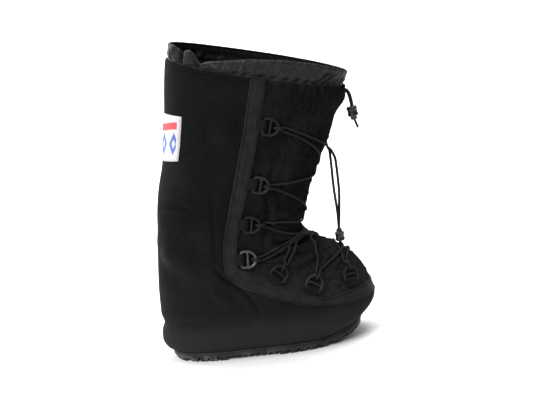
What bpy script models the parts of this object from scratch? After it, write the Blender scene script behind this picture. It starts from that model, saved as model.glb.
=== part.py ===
"""Cold weather mukluk for the right foot, standing empty on its lugged rubber sole.

Frame: +X to the toe, +Y to the inner side of the foot, +Z up, origin on the floor under the middle of the boot.
All sizes are in millimetres until a mesh is made. Places along the boot are measured from the heel line.
A place on the fabric body is an angle and a height: angle 0 is the toe, 90 the outer side and 180 the heel.
"""
import math
from collections import namedtuple

import bmesh
import bpy
import numpy as np

MM = 0.001
HEEL_TO_MIDDLE = 127.4
GAP = 0.35

# Wall thicknesses and heights of the fabric body
SOLE_TOP = 13.0
UPPER_BOTTOM = SOLE_TOP + GAP
UPPER_WALL = 2.6
FLANGE_WIDTH = 12.0
SEAM_BACK_HEIGHT = 398.0
SEAM_BACK_PLACE = 46.4
SEAM_FALL = 0.2817
SHAFT_LEAN = math.radians(16.0)

# Collar, tape, label and insole
COLLAR_WALL = 1.3
COLLAR_TUCK = 9.0
COLLAR_RISE = 25.0
COLLAR_RISE_CHANGE = 3.0
COLLAR_FRONT_PULL = 2.5
TAPE_STAND = 0.7
TAPE_THICKNESS = 1.4
TAPE_STEP = 11.0
TAPE_SHAFT_STEP = 20.0
LABEL_STAND = 0.6
LABEL_THICKNESS = 0.8
LABEL_ANGLES = (138.0, 222.0)
LABEL_HEIGHTS = (276.0, 338.0)
INSOLE_THICKNESS = 3.5
INSOLE_STAND = 0.8
INSOLE_CLEARANCE = UPPER_WALL + 1.6

# Foot shape
TOE_BEND = 9.0
TOE_SPRING = 14.0
SPRING_START = 190.0
SPRING_LENGTH = 64.0
ARCH_PLACE = 96.0
ARCH_LENGTH = 38.0
ARCH_INNER = 8.0
ARCH_OUTER = 3.0

# Lace, rings and cord locks
LACE_RADIUS = 1.6
LACE_STAND = 3.0
LACE_SPREAD = 2.6
LACE_STEPS = 6
LACE_START = 0.9
RING_WIDTH = 24.0
RING_BACK = 10.0
RING_BAR = 3.2
RING_THICKNESS = 2.8
RING_STAND = 2.6
TAB_WIDTH = 15.0
TAB_STAND = 1.1
TAB_THICKNESS = 1.1
LOCK_RADIUS = 6.5

# Sole
LUG_EMBED = 0.6
RUBBER_BASE = 5.0
LUG_INSET = 1.6
HEEL_BEVEL = 4.0
HEEL_BEVEL_START = 10.0
ARCH_CLEARANCE = 2.4

Section = namedtuple("Section", "height back front wide outer inner round_back round_front")
SECTIONS = (
    Section(UPPER_BOTTOM, -9.0, 252.0, 0.62, 51.5, 49.0, 2.5, 2.2),
    Section(20.0, -17.5, 264.0, 0.63, 57.5, 55.5, 2.5, 2.3),
    Section(30.0, -21.2, 272.0, 0.63, 61.0, 59.0, 2.5, 2.3),
    Section(42.0, -19.8, 274.5, 0.62, 62.0, 60.0, 2.5, 2.3),
    Section(54.0, -15.0, 273.5, 0.61, 61.0, 59.0, 2.5, 2.3),
    Section(67.0, -17.3, 271.0, 0.58, 60.0, 58.5, 2.4, 2.2),
    Section(80.0, -16.5, 268.5, 0.55, 59.0, 57.5, 2.3, 2.1),
    Section(98.0, -15.0, 261.0, 0.51, 57.5, 55.5, 2.2, 2.0),
    Section(119.0, -11.7, 245.0, 0.48, 55.0, 53.5, 2.2, 1.9),
    Section(136.0, -9.5, 220.5, 0.46, 53.0, 51.5, 2.2, 1.9),
    Section(148.0, -8.2, 197.0, 0.46, 52.0, 51.0, 2.2, 1.95),
    Section(161.0, -6.6, 188.5, 0.47, 51.5, 51.0, 2.2, 2.1),
    Section(180.0, -2.5, 197.0, 0.48, 52.0, 52.0, 2.2, 2.2),
    Section(205.0, 1.5, 206.0, 0.50, 53.0, 53.0, 2.2, 2.2),
    Section(237.0, 9.0, 219.7, 0.50, 55.0, 55.0, 2.2, 2.2),
    Section(271.0, 20.0, 240.5, 0.50, 57.0, 57.0, 2.2, 2.2),
    Section(306.0, 28.0, 257.0, 0.50, 58.5, 58.5, 2.2, 2.2),
    Section(340.0, 35.0, 271.0, 0.50, 60.0, 60.0, 2.2, 2.2),
    Section(372.0, 40.5, 282.0, 0.50, 60.5, 60.5, 2.2, 2.2),
    Section(400.0, 46.5, 291.0, 0.50, 61.0, 61.0, 2.2, 2.2),
    Section(430.0, 56.0, 300.0, 0.50, 61.0, 61.0, 2.2, 2.2),
)

# Edges of the webbing tape on the outer side: places from the heel line and heights, from the seam to the toe
TapeRow = namedtuple("TapeRow", "name inner_place inner_height outer_place outer_height")
TAPE_ROWS = (
    TapeRow("top", 176.0, 365.0, 155.0, 370.3),
    TapeRow("upper_shaft", 158.0, 306.0, 134.5, 312.0),
    TapeRow("middle_shaft", 138.9, 250.0, 116.1, 256.0),
    TapeRow("lower_shaft", 119.6, 200.0, 98.0, 206.0),
    TapeRow("ankle", 106.0, 163.0, 86.9, 168.0),
    TapeRow("upper_knee", 102.2, 136.0, 82.0, 142.5),
    TapeRow("knee", 102.6, 131.0, 84.8, 121.5),
    TapeRow("lower_knee", 106.5, 127.8, 96.8, 103.6),
    TapeRow("vamp", 146.0, 103.0, 135.0, 84.8),
    TapeRow("fore_vamp", 183.0, 84.5, 172.0, 68.3),
    TapeRow("toe_corner", 204.5, 71.6, 192.5, 62.6),
    TapeRow("toe_bend", 208.0, 70.6, 214.0, 59.5),
    TapeRow("toe_side", 232.5, 71.2, 237.0, 55.5),
    TapeRow("toe_front", 260.0, 73.0, 262.0, 51.5),
    TapeRow("toe_middle", 300.0, 73.5, 300.0, 50.0),
)
TAPE_KNEE = 6

# Lace rings on the outer side, top to toe: angle and height of the middle, and the way the round side points
RingRow = namedtuple("RingRow", "angle height turn")
RING_ROWS = (
    RingRow(77.7, 308.6, -19.0),
    RingRow(73.3, 235.3, -17.0),
    RingRow(73.7, 184.4, -12.0),
    RingRow(78.6, 138.6, -6.0),
    RingRow(72.2, 113.8, 44.0),
    RingRow(60.4, 92.6, 58.0),
    RingRow(32.8, 91.0, 80.0),
)

# Lace strands: ring numbers on the outer and inner side, and the height where the strand passes the front ridge
Strand = namedtuple("Strand", "outer_ring inner_ring ridge")
LACE_CROSSINGS = {
    "lace_cross_1": (Strand(1, 2, 250.0), Strand(2, 1, 222.0)),
    "lace_cross_2": (Strand(2, 3, 203.0), Strand(3, 2, 168.0)),
    "lace_cross_3": (Strand(3, 4, 161.0), Strand(4, 3, 155.0)),
    "lace_cross_4": (Strand(4, 5, 150.6), Strand(5, 4, 147.4)),
    "lace_cross_5": (Strand(5, 6, 144.6), Strand(6, 5, 141.4)),
    "lace_cross_6": (Strand(7, 6, 137.6), Strand(6, 7, 116.0)),
    "lace_toe_bar": (Strand(7, 7, 103.0),),
    "lace_top_bar": (Strand(1, 1, 262.0),),
}

# Side profile of the rubber, top to bottom: height and inset from the outline
RubberRow = namedtuple("RubberRow", "height inset")
RUBBER_ROWS = (
    RubberRow(SOLE_TOP, -0.6),
    RubberRow(10.8, -1.0),
    RubberRow(10.2, 0.6),
    RubberRow(9.4, 0.6),
    RubberRow(8.9, -0.5),
    RubberRow(RUBBER_BASE, 0.9),
)

# Materials: red, green, blue, roughness
Finish = namedtuple("Finish", "red green blue roughness")
BLACK_NYLON = Finish(0.020, 0.020, 0.022, 0.75)
SOFT_NYLON = Finish(0.016, 0.016, 0.017, 0.80)
COLLAR_NYLON = Finish(0.026, 0.027, 0.028, 0.45)
WEBBING = Finish(0.055, 0.056, 0.058, 0.70)
RUBBER = Finish(0.018, 0.018, 0.019, 0.65)
PLASTIC = Finish(0.060, 0.060, 0.062, 0.40)
CORD = Finish(0.025, 0.025, 0.027, 0.70)
PATCH_WHITE = Finish(0.80, 0.80, 0.80, 0.60)
FELT = Finish(0.16, 0.16, 0.15, 0.95)

# Grid of the fabric body
FRONT_CELLS = 16
BACK_CELLS = 18
LOWER_FRACTIONS = (0.0, 0.06, 0.15, 0.27, 0.385, 0.50, 0.66, 0.83, 1.0)
SHAFT_FRACTIONS = (0.0, 0.06, 0.12, 0.18, 0.24, 0.29, 0.325, 0.352, 0.372, 0.40, 0.47, 0.57, 0.70, 0.85, 1.0)


def clear_scene():
    for item in list(bpy.data.objects):
        bpy.data.objects.remove(item, do_unlink=True)


def unit(vectors):
    return vectors / np.linalg.norm(vectors, axis=-1, keepdims=True)


def smooth(places, values, wanted):
    """Monotone cubic curve through a table column."""
    steps = np.diff(places)
    slopes = np.diff(values) / steps
    tangents = np.concatenate([slopes[:1], np.zeros(len(slopes) - 1), slopes[-1:]])
    for k in range(1, len(slopes)):
        if slopes[k - 1] * slopes[k] > 0.0:
            before = 2.0 * steps[k] + steps[k - 1]
            after = steps[k] + 2.0 * steps[k - 1]
            tangents[k] = (before + after) / (before / slopes[k - 1] + after / slopes[k])
    k = np.clip(np.searchsorted(places, wanted) - 1, 0, len(steps) - 1)
    t = (wanted - places[k]) / steps[k]
    start = (1.0 + 2.0 * t) * (1.0 - t) ** 2 * values[k] + t * (1.0 - t) ** 2 * steps[k] * tangents[k]
    end = t * t * (3.0 - 2.0 * t) * values[k + 1] + t * t * (t - 1.0) * steps[k] * tangents[k + 1]
    return start + end


def section_at(height):
    """Section sizes at any height, each column smoothed on its own."""
    heights = np.array([row.height for row in SECTIONS])
    columns = []
    for name in Section._fields[1:]:
        values = np.array([getattr(row, name) for row in SECTIONS])
        columns.append(smooth(heights, values, np.asarray(height, float)))
    return Section(height, *columns)


def toe_lift(place):
    """Toe spring: how far the sole rises ahead of the ball."""
    return TOE_SPRING * (np.clip(place - SPRING_START, 0.0, 120.0) / SPRING_LENGTH) ** 2


def surface(angle, height):
    """Outer skin of the fabric body: two half superellipses for each height, bent and waisted near the sole."""
    height = np.asarray(height, float)
    turn = np.radians(np.asarray(angle, float))
    row = section_at(height)
    widest = row.back + (row.front - row.back) * row.wide
    along = np.cos(turn)
    aside = np.sin(turn)
    power = 2.0 / np.where(along >= 0.0, row.round_front, row.round_back)
    reach = np.where(along >= 0.0, row.front - widest, widest - row.back)
    x = widest + reach * np.sign(along) * np.abs(along) ** power
    width = np.where(aside >= 0.0, row.outer, row.inner)
    low = np.clip((60.0 - height) / 46.0, 0.0, 1.0)
    waist = np.where(aside >= 0.0, ARCH_OUTER, ARCH_INNER) * np.exp(-((x - ARCH_PLACE) / ARCH_LENGTH) ** 2) * low
    y = -(width - waist) * np.sign(aside) * np.abs(aside) ** power
    foot = np.clip((165.0 - height) / 65.0, 0.0, 1.0)
    y = y + TOE_BEND * (np.clip(x - 90.0, 0.0, 400.0) / 180.0) ** 2 * foot * foot * (3.0 - 2.0 * foot)
    return np.stack([x - HEEL_TO_MIDDLE, y, height + toe_lift(x) * low], -1)


def tangents(angle, height):
    """Steps along the skin for one degree and for one millimetre of height."""
    around = (surface(np.asarray(angle) + 0.5, height) - surface(np.asarray(angle) - 0.5, height))
    upward = (surface(angle, np.asarray(height) + 0.25) - surface(angle, np.asarray(height) - 0.25)) / 0.5
    return around, upward


def outward(angle, height):
    """Outward direction of the skin."""
    around, upward = tangents(angle, np.maximum(height, UPPER_BOTTOM + 0.26))
    return unit(np.cross(upward, around))


def skin(angle, height, lift):
    """Points a set distance outside the skin."""
    return surface(angle, height) + outward(angle, height) * np.asarray(lift)[..., None]


def angle_of(place, height):
    """Angle on the outer side of a place given from the heel line."""
    row = section_at(height)
    widest = row.back + (row.front - row.back) * row.wide
    if place >= widest:
        ratio = min(1.0, (place - widest) / (row.front - widest))
        return math.degrees(math.acos(ratio ** (row.round_front / 2.0)))
    ratio = min(1.0, (widest - place) / (widest - row.back))
    return 180.0 - math.degrees(math.acos(ratio ** (row.round_back / 2.0)))


def seam_height(angle):
    """Height of the slanted seam between shaft and collar."""
    height = np.full_like(np.asarray(angle, float), 370.0)
    for _ in range(12):
        place = surface(angle, height)[..., 0] + HEEL_TO_MIDDLE
        height = SEAM_BACK_HEIGHT - SEAM_FALL * (place - SEAM_BACK_PLACE)
    return height


def tape_edges():
    """Angles and heights of the tape's two edges at each row."""
    inner = [(angle_of(row.inner_place, row.inner_height), row.inner_height) for row in TAPE_ROWS]
    outer = [(angle_of(row.outer_place, row.outer_height), row.outer_height) for row in TAPE_ROWS]
    return np.array(inner), np.array(outer)


def tape_middle():
    inner, outer = tape_edges()
    return (inner + outer) / 2.0


def edge_angle(height):
    """Angle of the joint between upper and gusset on the shaft."""
    rows = tape_middle()[:TAPE_KNEE + 1][::-1]
    return np.interp(height, rows[:, 1], rows[:, 0])


def girdle_height(angle):
    """Height of the joint between upper and gusset along the foot."""
    rows = np.delete(tape_middle(), TAPE_KNEE + 1, axis=0)[TAPE_KNEE:][::-1]
    return np.interp(np.abs(angle), rows[:, 0], rows[:, 1])


def material(name, finish):
    made = bpy.data.materials.new(name)
    made.use_nodes = True
    shader = made.node_tree.nodes["Principled BSDF"]
    shader.inputs["Base Color"].default_value = (finish.red, finish.green, finish.blue, 1.0)
    shader.inputs["Roughness"].default_value = finish.roughness
    return made


def add_object(name, data, finish):
    item = bpy.data.objects.new(name, data)
    data.materials.append(material(name + "_finish", finish))
    bpy.context.scene.collection.objects.link(item)
    return item


def add_mesh(name, points, faces, finish, sharp=50.0):
    """Closed mesh object from millimetre points, with its faces turned outward."""
    data = bpy.data.meshes.new(name)
    data.from_pydata([tuple(p) for p in np.asarray(points) * MM], [], [tuple(f) for f in faces])
    work = bmesh.new()
    work.from_mesh(data)
    bmesh.ops.recalc_face_normals(work, faces=work.faces)
    bmesh.ops.triangulate(work, faces=work.faces)
    work.to_mesh(data)
    work.free()
    data.shade_smooth()
    data.set_sharp_from_angle(angle=math.radians(sharp))
    return add_object(name, data, finish)


def thick_sheet(name, outer, inner, cells, closed, finish):
    """Sheet with two skins: a quad on each skin for every cell, and walls along the free edges."""
    rows, columns = outer.shape[:2]
    count = rows * columns
    edges = {}
    faces = []
    for r, c in zip(*np.nonzero(cells)):
        d = (c + 1) % columns if closed else c + 1
        loop = [r * columns + c, r * columns + d, (r + 1) * columns + d, (r + 1) * columns + c]
        faces.append(loop)
        faces.append([count + k for k in reversed(loop)])
        for a, b in zip(loop, loop[1:] + loop[:1]):
            if edges.pop((b, a), None) is None:
                edges[(a, b)] = True
    for a, b in edges:
        faces.append([b, a, count + a, count + b])
    points = np.concatenate([outer.reshape(-1, 3), inner.reshape(-1, 3)])
    used = sorted({k for face in faces for k in face})
    renumber = {old: new for new, old in enumerate(used)}
    return add_mesh(name, points[used], [[renumber[k] for k in face] for face in faces], finish)


def column_angles(edge):
    """Angles of all grid columns for a row whose joint with the gusset is at the given angle."""
    front = np.linspace(-1.0, 1.0, FRONT_CELLS + 1)[None, :] * edge[:, None]
    share = np.linspace(0.0, 1.0, BACK_CELLS + 1)[1:-1]
    back = edge[:, None] + share[None, :] * (360.0 - 2.0 * edge[:, None])
    return np.concatenate([front, back], axis=1)


def shaft_rows():
    """Angles and heights of the shaft's grid: slanted rows from the knee of the tape to the seam."""
    share = np.array(SHAFT_FRACTIONS)
    knee = tape_middle()[TAPE_KNEE]
    seam_edge = seam_height(np.array([edge_angle(368.0)]))[0]
    edge = edge_angle(knee[1] + share * (seam_edge - knee[1]))
    angles = column_angles(edge)
    start = np.full(angles.shape[1], knee[1])
    start[:FRONT_CELLS + 1] = girdle_height(angles[0, :FRONT_CELLS + 1])
    return angles, start[None, :] + share[:, None] * (seam_height(angles) - start[None, :])


def make_upper():
    """Hollow upper: flange under the foot, closed band round the foot and a shaft that is open along the front."""
    angles, heights = shaft_rows()
    share = np.array(LOWER_FRACTIONS)
    low_heights = UPPER_BOTTOM + share[:, None] * (heights[0] - UPPER_BOTTOM)
    low_angles = np.repeat(angles[:1], len(share), axis=0)
    all_angles = np.concatenate([low_angles, angles[1:]])
    all_heights = np.concatenate([low_heights, heights[1:]])
    points = surface(all_angles, all_heights)
    normals = outward(all_angles, all_heights)
    plan = unit(normals[0] * np.array([1.0, 1.0, 0.0]))
    lip = points[0] - plan * FLANGE_WIDTH
    lip[:, 2] = UPPER_BOTTOM + toe_lift(lip[:, 0] + HEEL_TO_MIDDLE)
    down = np.array([0.0, 0.0, -1.0])
    corner = (normals[0] + down) / (1.0 + normals[0] @ down)[:, None]
    outer = np.concatenate([lip[None], points])
    offset = np.concatenate([np.broadcast_to(down, (1,) + lip.shape), corner[None], normals[1:]])
    cells = np.ones((len(outer) - 1, outer.shape[1]), bool)
    cells[len(share):, :FRONT_CELLS] = False
    return thick_sheet("upper", outer, outer - UPPER_WALL * offset, cells, True, BLACK_NYLON)


def make_gusset():
    """Soft front panel that fills the throat between the two runs of tape, from the toe to the seam."""
    angles, heights = shaft_rows()
    angles = angles[:, :FRONT_CELLS + 1]
    heights = heights[:, :FRONT_CELLS + 1]
    points = surface(angles, heights)
    normals = outward(angles, heights)
    inset = points.copy()
    inset[0] += GAP * unit(points[1] - points[0])
    inset[:, 0] += GAP * unit(points[:, 1] - points[:, 0])
    inset[:, -1] += GAP * unit(points[:, -2] - points[:, -1])
    cells = np.ones((inset.shape[0] - 1, inset.shape[1] - 1), bool)
    return thick_sheet("gusset", inset, inset - UPPER_WALL * normals, cells, False, SOFT_NYLON)


def make_collar():
    """Thin snow cuff: tucked inside the shaft's top edge and standing above the seam."""
    angles = shaft_rows()[0][-1]
    seam = seam_height(angles)
    top = surface(angles, seam)
    normals = outward(angles, seam)
    tucked = seam - COLLAR_TUCK
    lean = np.array([math.sin(SHAFT_LEAN), 0.0, math.cos(SHAFT_LEAN)])
    front = np.clip(np.cos(np.radians(angles)), 0.0, 1.0)
    rise = COLLAR_RISE - COLLAR_RISE_CHANGE * np.cos(np.radians(angles))
    hidden = UPPER_WALL + GAP
    rows = [surface(angles, tucked) - hidden * outward(angles, tucked), top - hidden * normals]
    for share, inset in ((0.16, hidden), (0.45, 0.5), (1.0, 1.8)):
        pull = inset + share * COLLAR_FRONT_PULL * front
        rows.append(top + (share * rise)[:, None] * lean - pull[:, None] * normals)
    outer = np.array(rows)
    cells = np.ones((len(rows) - 1, len(angles)), bool)
    return thick_sheet("collar", outer, outer - COLLAR_WALL * normals[None], cells, True, COLLAR_NYLON)


def tape_stations():
    """Edge angles and heights of one continuous tape: down the outer side, round the toe, up the inner side."""
    inner, outer = tape_edges()
    stations = [np.concatenate([inner[0], outer[0]])]
    for k in range(1, len(inner)):
        before = np.concatenate([inner[k - 1], outer[k - 1]])
        after = np.concatenate([inner[k], outer[k]])
        reach = np.linalg.norm(surface(*tape_centre(after)) - surface(*tape_centre(before)))
        pieces = max(1, int(round(reach / (TAPE_STEP if k > TAPE_KNEE else TAPE_SHAFT_STEP))))
        stations.extend(before + (after - before) * s / pieces for s in range(1, pieces + 1))
    half = np.array(stations)
    far = half[-2::-1] * np.array([-1.0, 1.0, -1.0, 1.0])
    return np.concatenate([half, far])


def tape_centre(station):
    return (station[0] + station[2]) / 2.0, (station[1] + station[3]) / 2.0


def make_tape():
    """Webbing tape that covers the joint of upper and gusset, mitred at the ankle and the toe corners."""
    stations = tape_stations()
    share = np.linspace(0.0, 1.0, 3)[None, :]
    angles = stations[:, :1] * (1.0 - share) + stations[:, 2:3] * share
    heights = stations[:, 1:2] * (1.0 - share) + stations[:, 3:] * share
    under = skin(angles, heights, np.full(angles.shape, TAPE_STAND))
    over = skin(angles, heights, np.full(angles.shape, TAPE_STAND + TAPE_THICKNESS))
    cells = np.ones((angles.shape[0] - 1, angles.shape[1] - 1), bool)
    return thick_sheet("tape", over, under, cells, False, WEBBING)


def make_label():
    """Woven patch round the back of the shaft."""
    angles, heights = np.meshgrid(np.linspace(*LABEL_ANGLES, 11), np.linspace(*LABEL_HEIGHTS, 5))
    under = skin(angles, heights, np.full(angles.shape, LABEL_STAND))
    over = skin(angles, heights, np.full(angles.shape, LABEL_STAND + LABEL_THICKNESS))
    cells = np.ones((angles.shape[0] - 1, angles.shape[1] - 1), bool)
    return thick_sheet("label", over, under, cells, False, PATCH_WHITE)


def outline(angles, inset):
    """Sole outline in plan, moved inward by the inset."""
    edge = surface(angles, np.full(np.shape(angles), UPPER_BOTTOM))
    plan = unit(outward(angles, np.full(np.shape(angles), UPPER_BOTTOM)) * np.array([1.0, 1.0, 0.0]))
    moved = edge - plan * np.asarray(inset)[..., None]
    return moved[..., :2]


def slab(name, rows, finish, columns=48):
    """Closed stack of outline loops: each row is a height and an inset, raised by the toe spring."""
    angles = np.arange(columns) * 360.0 / columns
    loops = []
    for height, inset in rows:
        plan = outline(angles, np.full(columns, inset))
        lift = toe_lift(plan[:, 0] + HEEL_TO_MIDDLE)
        loops.append(np.column_stack([plan, height + lift]))
    faces = []
    for r in range(len(loops) - 1):
        for c in range(columns):
            d = (c + 1) % columns
            faces.append([r * columns + c, r * columns + d, (r + 1) * columns + d, (r + 1) * columns + c])
    last = (len(loops) - 1) * columns
    for start in (0, last):
        half = columns // 2
        for c in range(half):
            a, b = c, c + 1
            e, f = (columns - c) % columns, columns - c - 1
            faces.append([start + k for k in dict.fromkeys((a, b, f, e))])
    return add_mesh(name, np.concatenate(loops), faces, finish)


def make_insole():
    bottom = UPPER_BOTTOM + UPPER_WALL + INSOLE_STAND
    rows = ((bottom + INSOLE_THICKNESS, INSOLE_CLEARANCE), (bottom, INSOLE_CLEARANCE))
    return slab("insole", rows, FELT, columns=40)


def edge_side(place, side):
    """Sideways reach of the sole's lugs at a place from the heel line; side is -1 outer, +1 inner."""
    angles = np.linspace(2.0, 178.0, 400) * -side
    plan = outline(angles, np.full(angles.shape, LUG_INSET))
    order = np.argsort(plan[:, 0])
    return np.interp(place - HEEL_TO_MIDDLE, plan[order, 0], plan[order, 1])


def spoke(angle, share):
    """Point between the sole's spine and its edge, on the line to an outline angle."""
    edge = outline(np.array([angle]), np.array([LUG_INSET]))[0]
    spine = np.array([np.clip(edge[0], 45.0 - HEEL_TO_MIDDLE, 200.0 - HEEL_TO_MIDDLE), 0.0])
    if edge[0] > spine[0]:
        spine[1] = 4.0
    return spine + share * (edge - spine)


def lug_loops():
    """Plan outlines of all lugs, each with the height of its tread face above the floor."""
    loops = []
    toe = np.linspace(-58.0, 58.0, 8)
    heel = np.linspace(148.0, 212.0, 6)
    for first, last, inner_share, margin in [(a, b, 0.38, 1.5) for a, b in zip(toe, toe[1:])] + \
                                            [(a, b, 0.30, 1.8) for a, b in zip(heel, heel[1:])]:
        arc = np.linspace(first + margin, last - margin, 3)
        near = [spoke(first + 2.4 * margin, inner_share), spoke(last - 2.4 * margin, inner_share)]
        loops.append((near[:1] + [spoke(a, 1.0) for a in arc] + near[1:], 0.0))
    for side in (-1.0, 1.0):
        for start in (138.0, 151.5, 165.0, 178.5, 192.0):
            loops.append((side_bar(start, 10.0, 21.0, 5.0, side), 0.0))
        for start in (16.0, 29.5, 43.0, 56.5):
            loops.append((side_bar(start, 10.0, 14.0, -3.0, side), 0.0))
    for place, across in ((148.0, 0.0), (166.0, 1.0), (184.0, 2.0), (29.0, 0.0), (49.0, 0.0)):
        loops.append((cross_block(place, across, 7.0, 2.6), 0.0))
    for place in np.arange(78.0, 132.0, 8.5):
        reach = [edge_side(place, s) for s in (-1.0, 1.0)]
        ends = [edge_side(place + 3.0, s) for s in (-1.0, 1.0)]
        x = place - HEEL_TO_MIDDLE
        loops.append(([(x, reach[0]), (x + 3.0, ends[0]), (x + 3.0, ends[1]), (x, reach[1])], ARCH_CLEARANCE))
    return loops


def side_bar(start, width, inner_reach, slant, side):
    """Lug at the sole's side, from an inner end out to the edge."""
    x = start - HEEL_TO_MIDDLE
    inner = side * inner_reach
    places = (start, start + width / 2.0, start + width)
    edge = [(p - HEEL_TO_MIDDLE, edge_side(p, side)) for p in places]
    return [(x + slant, inner)] + edge + [(x + width + slant, inner)]


def cross_block(place, across, arm, half):
    """Plus shaped lug on the middle line."""
    corner = [(half, half), (half, arm), (-half, arm), (-half, half)]
    loop = []
    for quarter in range(4):
        turn = quarter * math.pi / 2.0
        c, s = math.cos(turn), math.sin(turn)
        loop.extend((place - HEEL_TO_MIDDLE + c * u - s * v, across + s * u + c * v) for u, v in corner[:3])
    return loop


def make_outsole():
    """Rubber sole: grooved side, toe spring, raised arch and lugs for heel, forefoot and toe."""
    body = slab("outsole", RUBBER_ROWS, RUBBER)
    points = []
    faces = []
    for loop, tread in lug_loops():
        base = len(points)
        size = len(loop)
        for level in (RUBBER_BASE + LUG_EMBED, tread):
            for x, y in loop:
                place = x + HEEL_TO_MIDDLE
                bevel = HEEL_BEVEL * (np.clip(HEEL_BEVEL_START - place, 0.0, 30.0) / 19.0) ** 2
                lower = bevel if level == tread else 0.0
                points.append((x, y, level + lower + float(toe_lift(place))))
        faces.append([base + k for k in range(size)])
        faces.append([base + size + k for k in reversed(range(size))])
        for k in range(size):
            n = (k + 1) % size
            faces.append([base + k, base + size + k, base + size + n, base + n])
    lugs = add_mesh("lugs", points, faces, RUBBER)
    join(body, lugs)
    return body


def join(body, other):
    """Union of two closed bodies, kept in the first."""
    union = body.modifiers.new("join", "BOOLEAN")
    union.operation = "UNION"
    union.solver = "EXACT"
    union.use_self = True
    union.object = other
    graph = bpy.context.evaluated_depsgraph_get()
    merged = bpy.data.meshes.new_from_object(body.evaluated_get(graph))
    body.modifiers.clear()
    old = body.data
    body.data = merged
    bpy.data.meshes.remove(old)
    bpy.data.objects.remove(other, do_unlink=True)


class Seat:
    """Local frame of a lace ring: its place on the skin, and the ways along, across and out."""

    def __init__(self, row, side):
        self.angle = row.angle * side
        self.height = row.height
        self.side = side
        self.point = surface(self.angle, self.height)
        self.normal = outward(self.angle, self.height)
        self.around, self.upward = tangents(self.angle, self.height)
        forward = unit(self.around) * -side
        rising = unit(self.upward - forward * (self.upward @ forward))
        turn = math.radians(row.turn)
        self.along = math.cos(turn) * forward + math.sin(turn) * rising
        self.across = np.cross(self.normal, self.along) * side

    def flat(self, along, across, out):
        """Point in the ring's own plane."""
        return self.point + along * self.along + across * self.across + out * self.normal

    def spot(self, along, across):
        """Angle and height on the skin reached by a small step from the ring's middle."""
        step = along * self.along + across * self.across
        basis = np.stack([self.around, self.upward], axis=1)
        change = np.linalg.lstsq(basis, step, rcond=None)[0]
        return self.angle + change[0], self.height + change[1]


def ring_outlines():
    """Outer edge, lace window and tab slot of a lace ring, as (along, across) loops."""
    radius = RING_WIDTH / 2.0
    arc = [(radius * math.cos(t), radius * math.sin(t)) for t in np.linspace(-math.pi / 2, math.pi / 2, 8)]
    edge = arc + [(-0.6 * RING_BACK, radius), (-RING_BACK, 0.72 * radius),
                  (-RING_BACK, -0.72 * radius), (-0.6 * RING_BACK, -radius)]
    hole = radius - RING_BAR
    window = [(1.2 + (hole - 1.2) * math.cos(t), hole * math.sin(t))
              for t in np.linspace(-math.pi / 2, math.pi / 2, 6)]
    slot = [(-5.6, -0.68 * radius), (-1.8, -0.68 * radius), (-1.8, 0.68 * radius), (-5.6, 0.68 * radius)]
    return edge, window, slot


def make_ring(name, seat):
    """Moulded D ring with a lace window on the round side and a slot for its tab."""
    work = bmesh.new()
    for loop in ring_outlines():
        verts = [work.verts.new(seat.flat(u, v, RING_STAND) * MM) for u, v in loop]
        for a, b in zip(verts, verts[1:] + verts[:1]):
            work.edges.new((a, b))
    bmesh.ops.triangle_fill(work, use_beauty=True, use_dissolve=False, edges=work.edges[:])
    grown = bmesh.ops.extrude_face_region(work, geom=work.faces[:])
    moved = [item for item in grown["geom"] if isinstance(item, bmesh.types.BMVert)]
    bmesh.ops.translate(work, verts=moved, vec=seat.normal * RING_THICKNESS * MM)
    bmesh.ops.recalc_face_normals(work, faces=work.faces)
    bmesh.ops.triangulate(work, faces=work.faces)
    data = bpy.data.meshes.new(name)
    work.to_mesh(data)
    work.free()
    return add_object(name, data, PLASTIC)


def make_tab(name, seat):
    """Fabric tab between the skin and the straight side of a ring."""
    along, across = np.meshgrid(np.linspace(-RING_BACK - 1.0, -1.0, 2), np.linspace(-0.5, 0.5, 3) * TAB_WIDTH)
    spots = np.array([seat.spot(u, v) for u, v in zip(along.ravel(), across.ravel())])
    angles = spots[:, 0].reshape(along.shape)
    heights = spots[:, 1].reshape(along.shape)
    under = skin(angles, heights, np.full(angles.shape, TAB_STAND))
    over = skin(angles, heights, np.full(angles.shape, TAB_STAND + TAB_THICKNESS))
    cells = np.ones((2, 1), bool)
    return thick_sheet(name, over, under, cells, False, WEBBING)


def strand_route(strand, seats):
    """Angles and heights of a strand between two rings, by way of the front ridge.

    A strand that climbs to its other ring leaves on the upper side, and one that falls on the lower side.
    """
    climb = strand.outer_ring - strand.inner_ring
    bar_side = 1 if strand.outer_ring == 1 else -1
    outer_side = np.sign(climb) or bar_side
    inner_side = -np.sign(climb) or bar_side
    outer = seats[strand.outer_ring, 1].spot(RING_WIDTH / 2.0 + LACE_START, outer_side * LACE_SPREAD)
    inner = seats[strand.inner_ring, -1].spot(RING_WIDTH / 2.0 + LACE_START, inner_side * LACE_SPREAD)
    share = np.linspace(0.0, 1.0, LACE_STEPS + 1)
    first = np.outer(1.0 - share, outer) + np.outer(share, (0.0, strand.ridge))
    second = np.outer(1.0 - share, (0.0, strand.ridge)) + np.outer(share, inner)
    return np.concatenate([first, second[1:]])


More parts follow.
